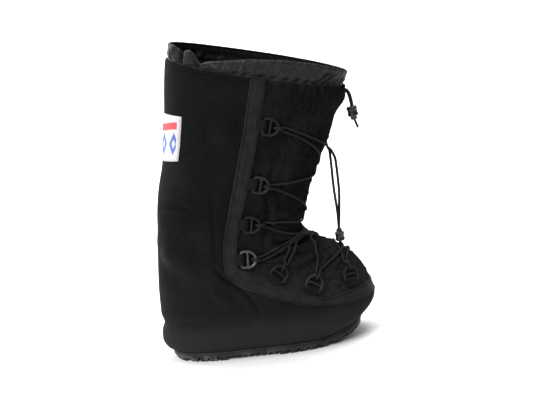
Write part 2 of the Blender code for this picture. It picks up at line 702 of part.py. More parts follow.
def tube(points, normals, radius, sides=5):
    """Closed tube along points that lie on the skin."""
    ways = unit(np.gradient(points, axis=0))
    aside = unit(np.cross(ways, normals))
    above = np.cross(aside, ways)
    turns = (np.arange(sides) + 0.5) * 2.0 * math.pi / sides
    ring = aside[:, None] * np.cos(turns)[None, :, None] + above[:, None] * np.sin(turns)[None, :, None]
    skin_points = (points[:, None] + radius * ring).reshape(-1, 3)
    faces = []
    for r in range(len(points) - 1):
        for c in range(sides):
            d = (c + 1) % sides
            faces.append([r * sides + c, r * sides + d, (r + 1) * sides + d, (r + 1) * sides + c])
    faces.append(list(range(sides)))
    faces.append([(len(points) - 1) * sides + c for c in reversed(range(sides))])
    return skin_points, faces


def make_lace(seats):
    """Lace strands over the gusset, joined where two of them cross."""
    for name, strands in LACE_CROSSINGS.items():
        pieces = []
        for number, strand in enumerate(strands):
            route = strand_route(strand, seats)
            points = skin(route[:, 0], route[:, 1], np.full(len(route), LACE_STAND))
            made = tube(points, outward(route[:, 0], route[:, 1]), LACE_RADIUS)
            pieces.append(add_mesh(name if number == 0 else name + "_over", *made, CORD))
        if len(pieces) == 2:
            join(*pieces)


def make_cord(name, route, radius=LACE_RADIUS):
    """Free hanging cord: a bevelled curve read from a smooth line through the route's points."""
    route = np.array(route, float)
    knots = np.concatenate([[0.0], np.cumsum(np.linalg.norm(np.diff(route, axis=0), axis=1))])
    count = max(4, int(knots[-1] / (5.0 * radius)))
    wanted = np.linspace(0.0, knots[-1], count)
    points = np.stack([smooth(knots, route[:, k], wanted) for k in range(3)], axis=1)
    points[:, 0] -= HEEL_TO_MIDDLE
    data = bpy.data.curves.new(name, "CURVE")
    data.dimensions = "3D"
    data.bevel_depth = radius * MM
    data.bevel_resolution = 2
    data.use_fill_caps = True
    line = data.splines.new("POLY")
    line.points.add(count - 1)
    for knot, point in zip(line.points, points):
        knot.co = (*(point * MM), 1.0)
    return add_object(name, data, CORD)


def make_lock(name, middle, axis, length):
    """Barrel cord lock with its plunger: a turned body on the given axis."""
    profile = ((0.80, 0.0), (1.0, 0.08), (1.0, 0.66), (0.86, 0.72), (0.62, 0.72), (0.62, 0.95), (0.45, 1.0))
    sides = 12
    axis = unit(np.array(axis, float))
    aside = unit(np.cross(axis, (0.0, 1.0, 0.0)))
    third = np.cross(axis, aside)
    turns = np.arange(sides) * 2.0 * math.pi / sides
    points = []
    for share, step in profile:
        ring = aside[None] * np.cos(turns)[:, None] + third[None] * np.sin(turns)[:, None]
        points.append(np.array(middle) + axis * (step - 0.5) * length + LOCK_RADIUS * share * ring)
    points = np.concatenate(points)
    points[:, 0] -= HEEL_TO_MIDDLE
    faces = []
    for r in range(len(profile) - 1):
        for c in range(sides):
            d = (c + 1) % sides
            faces.append([r * sides + c, r * sides + d, (r + 1) * sides + d, (r + 1) * sides + c])
    faces.append(list(range(sides)))
    faces.append([(len(profile) - 1) * sides + c for c in reversed(range(sides))])
    return add_mesh(name, points, faces, PLASTIC, sharp=35.0)


def make_cords():
    """Lace ends with their lock on the vamp, and the collar's drawcord with its lock."""
    make_cord("lace_end_near", ((239.35, -2.0, 259.35), (240.9, -2.0, 256.6), (240.4, -2.2, 235.0), (239.4, -2.3, 205.0),
                                (239.8, -2.3, 175.0), (238.6, -2.3, 148.9)))
    make_cord("lace_end_far", ((239.35, 2.0, 259.35), (242.2, 2.0, 256.2), (247.0, 2.2, 240.0), (246.2, 2.4, 205.0),
                               (242.4, 2.3, 172.0), (238.9, 2.0, 148.9)))
    make_lock("lace_lock", (238.5, 0.0, 140.0), (0.0, 0.0, 1.0), 17.0)
    make_cord("collar_cord_near", ((269.2, -1.9, 333.1), (272.4, -1.9, 331.4), (275.6, -1.9, 323.0),
                                   (277.0, -1.9, 309.0)))
    make_cord("collar_cord_far", ((269.2, 1.9, 333.1), (272.4, 1.9, 331.4), (275.6, 1.9, 323.0),
                                  (277.0, 1.9, 309.0)))
    make_lock("collar_lock", (277.6, 0.0, 300.6), (0.10, 0.0, -1.0), 16.0)
    make_cord("collar_tail", ((278.8, 0.0, 291.9), (280.6, 0.0, 285.0), (282.8, 0.0, 274.0)))


def main():
    clear_scene()
    make_outsole()
    make_insole()
    make_upper()
    make_gusset()
    make_tape()
    make_collar()
    make_label()
    seats = {}
    for number, row in enumerate(RING_ROWS, start=1):
        for side, word in ((1, "outer"), (-1, "inner")):
            seat = Seat(row, side)
            seats[number, side] = seat
            make_ring("d_ring_%s_%d" % (word, number), seat)
            make_tab("ring_tab_%s_%d" % (word, number), seat)
    make_lace(seats)
    make_cords()


main()
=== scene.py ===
"""Looks of a cold weather mukluk for the right foot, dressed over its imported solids.

Frame: +X to the toe, +Y to the inner side of the foot, +Z up. Sizes are in millimetres until a mesh is made.
A place on the fabric body is an angle and a height: angle 0 is the toe, 90 the outer side, 180 the heel, and
negative angles lie on the inner side. Places along the boot are measured from the heel line.
"""
import logging
import math
from dataclasses import astuple, dataclass, field
from enum import Enum
from typing import Optional, Sequence, Union

import bmesh
import bpy
import numpy as np
from mathutils import Matrix


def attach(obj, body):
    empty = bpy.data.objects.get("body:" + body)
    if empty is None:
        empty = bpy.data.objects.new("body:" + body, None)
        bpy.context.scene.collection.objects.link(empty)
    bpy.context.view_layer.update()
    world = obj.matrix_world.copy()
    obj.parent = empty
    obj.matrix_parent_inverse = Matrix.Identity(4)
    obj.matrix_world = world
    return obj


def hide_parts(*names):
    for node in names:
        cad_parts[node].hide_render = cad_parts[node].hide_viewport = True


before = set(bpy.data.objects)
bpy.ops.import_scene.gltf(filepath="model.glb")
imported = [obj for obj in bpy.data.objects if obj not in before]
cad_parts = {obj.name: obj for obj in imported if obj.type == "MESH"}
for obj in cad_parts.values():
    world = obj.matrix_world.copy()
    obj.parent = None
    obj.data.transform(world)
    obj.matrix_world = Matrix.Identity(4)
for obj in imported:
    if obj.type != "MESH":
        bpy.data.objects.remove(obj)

LOG = logging.getLogger("mukluk")
Array = np.ndarray
Amount = Union[Array, float]
Material = bpy.types.Material
Piece = bpy.types.Object
Colour = tuple[float, float, float]
Triple = tuple[float, float, float]
Pair = tuple[float, float]
MM = 0.001
HEEL_TO_MIDDLE = 127.4
HEEL_LINE = np.array([HEEL_TO_MIDDLE, 0.0, 0.0])


class Side(Enum):
    """Side of the boot, as the sign of its angles."""

    OUTER = 1
    INNER = -1


class FoldKind(Enum):
    """Whether a fold goes into the cloth or stands out of it."""

    TROUGH = -1.0
    RIDGE = 1.0


class RingHighlight(Enum):
    """How much a lace ring's colour is painted lighter, as a highlight."""

    LITTLE = "little"
    SOME = "some"
    MUCH = "much"


# Shader arithmetic


class Value:
    """Number socket of a shader, on which Python arithmetic adds Math nodes."""

    def __init__(self, paint: "Paint", socket: bpy.types.NodeSocket) -> None:
        """Keeps the socket and the paint that it belongs to."""
        self.paint = paint
        self.socket = socket

    def __add__(self, other: "Operand") -> "Value":
        """Sum."""
        return self.paint.math("ADD", self, other)

    __radd__ = __add__

    def __sub__(self, other: "Operand") -> "Value":
        """Difference."""
        return self.paint.math("SUBTRACT", self, other)

    def __rsub__(self, other: "Operand") -> "Value":
        """Difference with this value taken away."""
        return self.paint.math("SUBTRACT", other, self)

    def __mul__(self, other: "Operand") -> "Value":
        """Product."""
        return self.paint.math("MULTIPLY", self, other)

    __rmul__ = __mul__

    def __truediv__(self, other: "Operand") -> "Value":
        """Quotient."""
        return self.paint.math("DIVIDE", self, other)

    def __abs__(self) -> "Value":
        """Size without sign."""
        return self.paint.math("ABSOLUTE", self)


Operand = Union[Value, float]


class Paint:
    """Node tree of one material and the Principled shader that it feeds."""

    def __init__(self, name: str) -> None:
        """Starts a material with an empty Principled shader.

        Args:
            name: material name.
        """
        self.material = bpy.data.materials.new(name)
        self.material.use_nodes = True
        self.tree = self.material.node_tree
        self.shader = self.tree.nodes["Principled BSDF"]

    def node(self, kind: str, settings: Optional[dict] = None, inputs: Optional[dict] = None,
             output: Union[int, str] = 0) -> Value:
        """Adds any node.

        Args:
            kind: node type name.
            settings: properties that are set first, such as an operation.
            inputs: values or links by socket name, identifier or number.
            output: name or number of the socket to hand back.

        Returns:
            The chosen output.
        """
        made = self.tree.nodes.new(kind)
        for key, value in (settings or {}).items():
            setattr(made, key, value)
        for key, value in (inputs or {}).items():
            socket = made.inputs[key] if isinstance(key, int) else self.find(made, key)
            self.feed(socket, value)
        return Value(self, made.outputs[output])

    @staticmethod
    def find(made: bpy.types.Node, key: str) -> bpy.types.NodeSocket:
        """Input socket by identifier, or else by name."""
        return next((s for s in made.inputs if s.identifier == key), None) or made.inputs[key]

    def feed(self, socket: bpy.types.NodeSocket, value: Union[Value, float, Sequence[float]]) -> None:
        """Links a value to a socket, or sets the socket's own number or colour.

        Args:
            socket: input to feed.
            value: what to link or set.
        """
        if isinstance(value, Value):
            self.tree.links.new(value.socket, socket)
        elif isinstance(value, (tuple, list)) and len(value) == 3 and len(socket.default_value) == 4:
            socket.default_value = (*value, 1.0)
        else:
            socket.default_value = value

    def math(self, operation: str, *values: Operand) -> Value:
        """Math node on one, two or three values."""
        return self.node("ShaderNodeMath", {"operation": operation}, dict(enumerate(values)))

    def sine(self, value: Value) -> Value:
        """Sine of an angle in radians."""
        return self.math("SINE", value)

    def step(self, value: Value, low: float, high: float) -> Value:
        """Soft step from 0 at low to 1 at high."""
        settings = {"interpolation_type": "SMOOTHSTEP"}
        return self.node("ShaderNodeMapRange", settings, {0: value, 1: low, 2: high, 3: 0.0, 4: 1.0})

    def mix(self, share: Operand, first: Union[Value, Colour], second: Union[Value, Colour]) -> Value:
        """Colour between two others."""
        inputs = {"Factor_Float": share, "A_Color": first, "B_Color": second}
        return self.node("ShaderNodeMix", {"data_type": "RGBA"}, inputs, 2)

    def place(self) -> Value:
        """Object coordinates in metres."""
        return self.node("ShaderNodeTexCoord", output="Object")

    def axis(self, number: int) -> Value:
        """One of the three object coordinates, in metres."""
        return self.node("ShaderNodeSeparateXYZ", None, {0: self.place()}, number)

    def join(self, across: Value, along: Value) -> Value:
        """Place for a texture, from two coordinates."""
        return self.node("ShaderNodeCombineXYZ", None, {0: across, 1: along})

    def cloth(self) -> tuple[Value, Value]:
        """The two texture coordinates of a piece, in millimetres along the cloth.

        Returns:
            Places across and along the cloth.
        """
        both = self.node("ShaderNodeUVMap", {"uv_map": "cloth"})
        parts = self.node("ShaderNodeSeparateXYZ", None, {0: both})
        return parts, Value(self, parts.socket.node.outputs[1])

    def noise(self, scale: float, detail: float = 2.0, where: Optional[Value] = None) -> Value:
        """Noise of about 0 to 1, with the scale in waves for each metre."""
        inputs = {"Vector": where or self.place(), "Scale": scale, "Detail": detail}
        return self.node("ShaderNodeTexNoise", None, inputs)

    def bump(self, height: Value, depth: float, strength: float = 1.0,
             under: Optional[Value] = None) -> Value:
        """Bumped normal, with the depth in millimetres and an optional normal below it.

        Args:
            height: height over the surface.
            depth: depth for a height of one.
            strength: share of the full effect.
            under: normal below it.

        Returns:
            The normal.
        """
        inputs = {"Height": height, "Distance": depth * MM, "Strength": strength}
        if under is not None:
            inputs["Normal"] = under
        return self.node("ShaderNodeBump", None, inputs)

    def finish(self, **inputs: Union[Value, float, Colour]) -> Material:
        """Feeds the Principled shader, with socket names written with underscores.

        Args:
            inputs: what feeds each socket.

        Returns:
            The finished material.
        """
        for key, value in inputs.items():
            self.feed(self.shader.inputs[key.replace("_", " ").title().replace("Ior", "IOR")], value)
        return self.material


# Finishes


@dataclass(frozen=True)
class WovenFinish:
    """Plain weave cloth: yarns that pass over and under each other, with uneven dye, a little lint and painted
    highlight on the yarn crowns.
    """

    name: str
    colour: Colour
    # Paler colour, reached through dye patches, lint, slubs and the paling towards the floor, and through painted
    # highlight on yarn crowns and crumple crests.
    worn: Colour
    yarn: float
    relief: float
    roughness: float
    sheen: float
    specular: float = 0.3
    slub: float = 0.5
    # How much paler the colour grows towards the floor.
    paling: float = 0.0
    crumple: float = 0.0
    toning: float = 0.0
    toning_colour: Colour = (0.0150, 0.0150, 0.0156)
    paling_heights: Pair = (0.05, 0.21)
    toning_heights: Pair = (0.034, 0.070)
    foot_heights: Pair = (0.13, 0.165)
    patch_scale: float = 22.0
    lint_scale: float = 310.0
    fibre_scale: float = 620.0

    def make(self) -> Material:
        """Height is the warp's rounding where the warp is on top, and else the weft's, with slubs on both.

        The colour grows paler towards the floor, between heights in metres. Only the foot is crumpled.

        Returns:
            The material.
        """
        paint = Paint(self.name)
        across, along = paint.cloth()
        warp = paint.sine(across * (math.pi / self.yarn))
        weft = paint.sine(along * (math.pi / self.yarn))
        over = paint.step(warp * weft, -0.2, 0.2)
        yarns = over * abs(weft) + (1.0 - over) * abs(warp)
        patches = paint.noise(self.patch_scale, 3.0)
        fibres = paint.noise(self.fibre_scale, 2.0)
        slubs = paint.noise(1.0, 3.0, paint.join(across * 0.17, along * 0.40))
        height = paint.axis(2)
        # Paler towards the floor.
        low = 1.0 - paint.step(height, *self.paling_heights)
        lint = paint.step(paint.noise(self.lint_scale, 1.0), 0.68, 0.80)
        # Paler with dye patches and lint, and on the yarn crowns as a painted highlight.
        wear_and_painted_light = 0.40 * paint.step(patches, 0.38, 0.72) + 0.20 * yarns + 0.35 * lint
        wear_and_painted_light = wear_and_painted_light + self.slub * (paint.step(slubs, 0.35, 0.70) - 0.4) + self.paling * low
        normal = paint.bump(yarns + 0.35 * fibres + 0.9 * slubs, self.relief)
        if self.crumple:
            spot = paint.join(across * 0.14 + along * 0.05, along * 0.08)
            foot = 1.0 - paint.step(height, *self.foot_heights)
            crests = foot * (1.0 - abs(2.0 * paint.noise(1.0, 3.0, spot) - 1.0))
            # Crests painted lighter and the rest of the foot painted darker, as highlight and shade on the crumples.
            wear_and_painted_light = wear_and_painted_light + 0.75 * paint.step(crests, 0.4, 1.0) - 0.72 * foot
            normal = paint.bump(crests, self.crumple, 1.0, normal)
        colour = paint.mix(paint.math("MAXIMUM", wear_and_painted_light, 0.0), self.colour, self.worn)
        # Paler again, unevenly, in a band just above the floor.
        if self.toning:
            ground = 1.0 - paint.step(height + 0.04 * (patches - 0.5), *self.toning_heights)
            colour = paint.mix(self.toning * ground * (0.7 + 0.6 * patches), colour, self.toning_colour)
        rough = self.roughness + 0.16 * (fibres - 0.5) - 0.08 * yarns
        return paint.finish(base_color=colour, roughness=rough, normal=normal, sheen_weight=self.sheen,
                            sheen_roughness=0.45, specular_ior_level=self.specular)


@dataclass(frozen=True)
class WebbingFinish:
    """Grosgrain webbing: fine ribs along its length, crossed by a close weft, with firm edges, painted highlight on
    ribs and edges and painted shade in the grooves.
    """

    name: str
    colour: Colour
    # Colour of the grooves, darkened as painted shade.
    shaded_groove: Colour
    width: float
    mitres: tuple[float, ...] = ()
    rib: float = 2.9
    weft: float = 0.85
    relief: float = 0.30

    def make(self) -> Material:
        """Height is the rounding of the ribs, scored by the weft, with firm edges and cut mitres; the colour is
        painted dark along each mitre as a shadow.

        Returns:
            The material.
        """
        paint = Paint(self.name)
        across, along = paint.cloth()
        wave = paint.sine(across * (math.pi / self.rib))
        ribs = abs(wave)
        picks = paint.sine(along * (2.0 * math.pi / self.weft) + 3.0 * wave)
        edge = paint.step(abs(across - 0.5 * self.width), 0.42 * self.width, 0.47 * self.width)
        paling = paint.noise(70.0, 3.0)
        fibres = paint.noise(700.0, 1.0)
        height = ribs + 0.3 * picks + 0.4 * edge + 0.3 * fibres
        # Paler on the rib crowns and edges as painted highlight, darker in the grooves as painted shade, and paler in
        # random patches.
        share = 0.30 * ribs + 0.55 * paint.step(paling, 0.30, 0.75) + 0.65 * edge
        # Each mitre line is painted dark, as the shadow of its fold.
        for mitre in self.mitres:
            cut = paint.step(abs(along - mitre), 0.4, 1.5)
            share, height = share * cut, height * cut
        colour = paint.mix(share, self.shaded_groove, self.colour)
        return paint.finish(base_color=colour, roughness=0.62 + 0.2 * (fibres - 0.5),
                            normal=paint.bump(height, self.relief), sheen_weight=0.02, sheen_roughness=0.4,
                            specular_ior_level=0.08)


@dataclass(frozen=True)
class BraidFinish:
    """Round braided cord: strands that wind both ways round it and cross in diamonds, with painted highlight on their
    crowns.
    """

    name: str
    colour: Colour
    # Colour of the strand crowns, lighter as a painted highlight.
    crown: Colour
    strands: float = 4.0
    pitch: float = 3.4
    relief: float = 0.35

    def make(self) -> Material:
        """Height is the higher of two opposite helices, and its crowns are painted lighter as a highlight.

        Returns:
            The material.
        """
        paint = Paint(self.name)
        turn, along = paint.cloth()
        winding = turn * (2.0 * math.pi * self.strands)
        rise = along * (2.0 * math.pi / self.pitch)
        braid = 0.5 + 0.5 * paint.math("MAXIMUM", paint.sine(winding + rise), paint.sine(winding - rise))
        fibres = paint.noise(900.0, 1.0)
        # Crowns painted lighter and the hollows between them darker, as highlight and shade.
        colour = paint.mix(paint.step(braid, 0.35, 0.95), self.colour, self.crown)
        return paint.finish(base_color=colour, roughness=0.58 + 0.2 * (fibres - 0.5),
                            normal=paint.bump(braid + 0.3 * fibres, self.relief), sheen_weight=0.004,
                            sheen_roughness=0.4, specular_ior_level=0.02)


@dataclass(frozen=True)
class RubberFinish:
    """Moulded rubber: fine mould grain, duller and paler where it has met the floor."""

    name: str
    colour: Colour
    dusty: Colour
    low_heights: Pair = (0.0030, 0.0120)
    heel_places: Pair = (-0.10, 0.05)

    def make(self) -> Material:
        """Dust gathers low down, most at the heel and in patches, and roughens the skin.

        Returns:
            The material.
        """
        paint = Paint(self.name)
        low = 1.0 - paint.step(paint.axis(2), *self.low_heights)
        heel = 1.0 - paint.step(paint.axis(0), *self.heel_places)
        patches = paint.step(paint.noise(70.0, 4.0), 0.44, 0.62)
        grain = paint.noise(1100.0, 2.0)
        pits = paint.noise(240.0, 2.0)
        worn = low * (0.15 + 0.85 * heel)
        paling = paint.math("MINIMUM", 0.14 * patches + 1.2 * worn * patches + 0.08 * grain, 1.0)
        colour = paint.mix(paling, self.colour, self.dusty)
        return paint.finish(base_color=colour, roughness=0.42 + 0.25 * paling + 0.15 * grain,
                            normal=paint.bump(grain + 0.8 * pits, 0.22, 0.8), specular_ior_level=0.28)


@dataclass(frozen=True)
class MouldedFinish:
    """Moulded plastic or lacquered wire: satin, with faint flow marks and rubbed spots."""

    name: str
    colour: Colour
    rubbed: Colour
    roughness: float
    specular: float

    def make(self) -> Material:
        """Rubbed spots are smoother and paler than the rest.

        Returns:
            The material.
        """
        paint = Paint(self.name)
        spots = paint.step(paint.noise(170.0, 3.0), 0.46, 0.68)
        grain = paint.noise(1500.0, 1.0)
        colour = paint.mix(0.8 * spots, self.colour, self.rubbed)
        return paint.finish(base_color=colour, roughness=self.roughness + 0.10 * grain - 0.08 * spots,
                            normal=paint.bump(grain, 0.05, 0.6), specular_ior_level=self.specular)


@dataclass(frozen=True)
class PatchFinish:
    """Woven white patch with a plain border, a red bar and a row of blue lozenges."""

    name: str
    ground: Colour
    soiled: Colour
    red: Colour
    blue: Colour
    width: float
    height: float
    lozenges: float = 5.0
    lozenge_line: float = 0.40
    lozenge_stretch: float = 1.9
    bar_line: float = 0.79
    bar_edge: Pair = (0.075, 0.085)
    border: Pair = (0.44, 0.445)
    thread: float = 0.9

    def make(self) -> Material:
        """A lozenge is where the distances along and across its cell add up to less than its half size.

        Returns:
            The material.
        """
        paint = Paint(self.name)
        across, along = paint.cloth()
        cell = self.width / self.lozenges
        reach = abs(paint.math("FRACT", across / cell) - 0.5)
        reach = reach + abs(along - self.lozenge_line * self.height) / (self.lozenge_stretch * cell)
        off_middle = abs(across - 0.5 * self.width)
        inside = 1.0 - paint.step(off_middle, *(share * self.width for share in self.border))
        lozenge = inside * paint.step(reach, 0.14, 0.18) * (1.0 - paint.step(reach, 0.36, 0.40))
        wave = 0.02 * self.height * paint.sine(across * (4.0 * math.pi / self.width))
        off_bar = abs(along - self.bar_line * self.height - wave)
        bar = inside * (1.0 - paint.step(off_bar, *(share * self.height for share in self.bar_edge)))
        turn = 2.0 * math.pi / self.thread
        threads = paint.sine(across * turn) * paint.sine(along * turn)
        toning = paint.step(paint.noise(70.0, 3.0), 0.40, 0.85)
        ground = paint.mix(0.25 * toning, self.ground, self.soiled)
        colour = paint.mix(bar, paint.mix(lozenge, ground, self.blue), self.red)
        return paint.finish(base_color=colour, roughness=0.6 + 0.1 * toning,
                            normal=paint.bump(threads + 0.8 * lozenge + 0.8 * bar, 0.12),
                            specular_ior_level=0.3, sheen_weight=0.1)


@dataclass(frozen=True)
class FeltFinish:
    """Pressed felt: matted fibres in two tones."""

    name: str
    colour: Colour
    flecks: Colour

    def make(self) -> Material:
        """Fine noise mixes the tones, and coarse noise mats the surface.

        Returns:
            The material.
        """
        paint = Paint(self.name)
        fibres = paint.noise(420.0, 4.0)
        mats = paint.noise(90.0, 3.0)
        colour = paint.mix(paint.step(fibres, 0.40, 0.66), self.colour, self.flecks)
        return paint.finish(base_color=colour, roughness=0.9 + 0.1 * (mats - 0.5),
                            normal=paint.bump(fibres + mats, 0.5), sheen_weight=0.3, specular_ior_level=0.1)


@dataclass(frozen=True)
class FloorFinish:
    """Matt studio floor with a faint mottle."""

    name: str
    colour: Colour
    shade: Colour

    def make(self) -> Material:
        """Broad noise mixes two near tones.

        Returns:
            The material.
        """
        paint = Paint(self.name)
        mottle = paint.noise(3.0, 2.0)
        return paint.finish(base_color=paint.mix(mottle, self.colour, self.shade), roughness=0.7)


def grey(level: float, blue: float) -> Colour:
    """Near grey: one level for red and green, and its own for blue."""
    return level, level, blue


class Finishes:
    """All finishes of the boot, made once."""

    def __init__(self) -> None:
        """Makes each material."""
        # Woven finishes carry painted highlight on their yarn crowns.
        self.shell = WovenFinish(
            "heavy_nylon", grey(0.0018, 0.0020), grey(0.0066, 0.0070), yarn=1.25, relief=0.28,
            roughness=0.80, sheen=0.022, specular=0.05, paling=0.62, toning=0.9).make()
        # Gusset nylon: its crumples carry painted highlight and shade.
        self.gusset = WovenFinish(
            "soft_nylon", grey(0.0044, 0.0045), grey(0.0148, 0.0150), yarn=0.95, relief=0.16,
            roughness=0.85, sheen=0.006, specular=0.0, slub=0.45, paling=0.85, crumple=1.1).make()
        self.collar = WovenFinish(
            "collar_nylon", grey(0.0060, 0.0062), grey(0.0190, 0.0195), yarn=0.70, relief=0.07,
            roughness=0.50, sheen=0.03, specular=0.14, slub=0.60).make()
        # Darker copy of the collar nylon for the cuff's inner skin, as painted shade.
        self.collar_inside = WovenFinish(
            "collar_inside", grey(0.0018, 0.0018), grey(0.0056, 0.0054), yarn=0.70, relief=0.07,
            roughness=0.60, sheen=0.01, specular=0.06, slub=0.60).make()
        self.lining = WovenFinish(
            "dark_lining", grey(0.0024, 0.0024), grey(0.0062, 0.0060), yarn=0.95, relief=0.10,
            roughness=0.85, sheen=0.0, specular=0.05).make()
        # Tab webbing: painted shade in its grooves, painted highlight on ribs and edges.
        self.tab = WebbingFinish("tab_webbing", grey(0.0040, 0.0041), grey(0.0016, 0.0017),
                                 width=15.0).make()
        # Cords and threads: their crown colours are painted highlight.
        self.cord = BraidFinish("braided_cord", grey(0.0060, 0.0061), grey(0.0200, 0.0204)).make()
        fine = {"strands": 2.0, "pitch": 1.0, "relief": 0.1}
        self.thread = BraidFinish("thread", grey(0.0020, 0.0021), grey(0.0044, 0.0045), **fine).make()
        self.tack = BraidFinish("tack_thread", grey(0.0060, 0.0061), grey(0.0165, 0.0168), **fine).make()
        # Lighter, glossier ring finishes: their colour carries a painted highlight.
        self.rings = {
            RingHighlight.LITTLE: MouldedFinish("ring_plastic", grey(0.0050, 0.0052), grey(0.0120, 0.0122),
                                          roughness=0.42, specular=0.14).make(),
            RingHighlight.SOME: MouldedFinish("rubbed_plastic", grey(0.0062, 0.0064), grey(0.0150, 0.0153),
                                        roughness=0.38, specular=0.20).make(),
            RingHighlight.MUCH: MouldedFinish("worn_plastic", grey(0.0240, 0.0245), grey(0.0640, 0.0650),
                                        roughness=0.28, specular=0.45).make(),
        }
        self.lock = MouldedFinish("lock_plastic", grey(0.0036, 0.0038), grey(0.0110, 0.0114),
                                  roughness=0.22, specular=0.40).make()
        self.rubber = RubberFinish("sole_rubber", grey(0.0042, 0.0046), grey(0.0700, 0.0745)).make()
        self.felt = FeltFinish("felt", grey(0.090, 0.088), (0.200, 0.198, 0.190)).make()
        self.floor = FloorFinish("studio_floor", grey(0.74, 0.75), grey(0.71, 0.72)).make()


# Shape helpers


def unit(vectors: Array) -> Array:
    """Vectors of length one along the last axis."""
    return vectors / np.maximum(np.linalg.norm(vectors, axis=-1, keepdims=True), 1e-12)


def ease(share: Array) -> Array:
    """Soft step: three times the square less twice the cube, between 0 and 1."""
    share = np.clip(share, 0.0, 1.0)
    return share * share * (3.0 - 2.0 * share)


def monotone(places: Array, values: Array, wanted: Array) -> Array:
    """Monotone cubic curve through a table column.

    Args:
        places: rising places of the rows.
        values: the column's values.
        wanted: places to read.

    Returns:
        The curve's values, with harmonic mean slopes where the column keeps rising or falling.
    """
    steps = np.diff(places)
    slopes = np.diff(values) / steps
    before = 2.0 * steps[1:] + steps[:-1]
    after = steps[1:] + 2.0 * steps[:-1]
    same = slopes[:-1] * slopes[1:] > 0.0
    safe = np.where(same[:, None], np.stack([slopes[:-1], slopes[1:]], 1), 1.0)
    inside = np.where(same, (before + after) / (before / safe[:, 0] + after / safe[:, 1]), 0.0)
    tangent = np.concatenate([slopes[:1], inside, slopes[-1:]])
    k = np.clip(np.searchsorted(places, wanted) - 1, 0, len(steps) - 1)
    t = (wanted - places[k]) / steps[k]
    start = (1.0 + 2.0 * t) * (1.0 - t) ** 2 * values[k] + t * (1.0 - t) ** 2 * steps[k] * tangent[k]
    end = t * t * (3.0 - 2.0 * t) * values[k + 1] + t * t * (t - 1.0) * steps[k] * tangent[k + 1]
    return start + end


def run_length(points: Array, axis: int = 0) -> Array:
    """Length along a line or along each line of a grid, starting at zero.

    Args:
        points: line or grid of points.
        axis: axis that the lines run along.

    Returns:
        Lengths.
    """
    steps = np.linalg.norm(np.diff(points, axis=axis), axis=-1)
    start = np.zeros_like(np.take(steps, [0], axis=axis))
    return np.concatenate([start, np.cumsum(steps, axis=axis)], axis=axis)


def spread(points: Array) -> float:
    """Area of a grid: half the cross product of the two diagonals of each cell, summed."""
    diagonals = points[1:, 1:] - points[:-1, :-1], points[1:, :-1] - points[:-1, 1:]
    return float(0.5 * np.linalg.norm(np.cross(*diagonals), axis=-1).sum())


def read_line(at: Array, along: Array, points: Array) -> Array:
    """Points of a line at new places along it, each column read on its own."""
    return np.stack([np.interp(at, along, column) for column in points.T], 1)


def table(rows: Sequence) -> Array:
    """Numbers of a table of dataclass rows."""
    return np.array([astuple(row) for row in rows], float)


def ring_quads(rows: int, sides: int, closed: bool = False) -> Array:
    """Quads between neighbouring rings of points, and between the last and the first if closed.

    Args:
        rows: number of rings.
        sides: points of each ring.
        closed: whether the last ring joins the first.

    Returns:
        Corner numbers, four for each quad.
    """
    r, c = np.divmod(np.arange((rows if closed else rows - 1) * sides), sides)
    s, d = (r + 1) % rows, (c + 1) % sides
    return np.stack([r * sides + c, r * sides + d, s * sides + d, s * sides + c], 1)


def body_quads(rows: int, sides: int) -> Array:
    """Quads of a stack of rings, with both ends closed by quads from side to side.

    Args:
        rows: number of rings.
        sides: points of each ring, an even number.

    Returns:
        Corner numbers, four for each quad.
    """
    half = np.arange(sides // 2 - 1)
    cap = np.stack([half, half + 1, sides - 2 - half, sides - 1 - half], 1)
    return np.concatenate([ring_quads(rows, sides), cap[:, ::-1], cap + (rows - 1) * sides])


def flowing(points: Array, step: float) -> Array:
    """Even points about a step apart on a Catmull-Rom curve through the given points.

    Args:
        points: points to pass through.
        step: distance between the new points.

    Returns:
        The new points, with the two ends kept.
    """
    ends = np.concatenate([[2.0 * points[0] - points[1]], points, [2.0 * points[-1] - points[-2]]])
    fine = np.linspace(0.0, len(points) - 1.0, 14 * len(points))
    k = np.minimum(fine.astype(int), len(points) - 2)
    t = (fine - k)[:, None]
    a, b, c, d = ends[k], ends[k + 1], ends[k + 2], ends[k + 3]
    dense = 0.5 * (2.0 * b + (c - a) * t + (2.0 * a - 5.0 * b + 4.0 * c - d) * t ** 2
                   + (3.0 * b - a - 3.0 * c + d) * t ** 3)
    length = run_length(dense)
    even = np.linspace(0.0, length[-1], max(3, int(length[-1] / step) + 1))
    return read_line(even, length, dense)


def carried(path: Array, across: Array, out: Array, profile: Array) -> Array:
    """Points of a profile carried along a path, as rows of rings.

    Args:
        path: points of the middle line.
        across: sideways direction, one or many.
        out: outward direction, one or many.
        profile: (across, out) points.

    Returns:
        Grid of points.
    """
    across, out = (np.broadcast_to(way, path.shape)[:, None] for way in (across, out))
    return path[:, None] + profile[..., :1] * across + profile[..., 1:] * out


def waver(place: Array, lengths: Sequence[float], start: float = 0.0) -> Array:
    """Uneven wave between about -1 and 1: the mean of sines with the given wave lengths."""
    waves = [np.sin(2.0 * math.pi * place / size + start + 1.7 * n) for n, size in enumerate(lengths)]
    return np.sum(waves, axis=0) / math.sqrt(len(lengths))


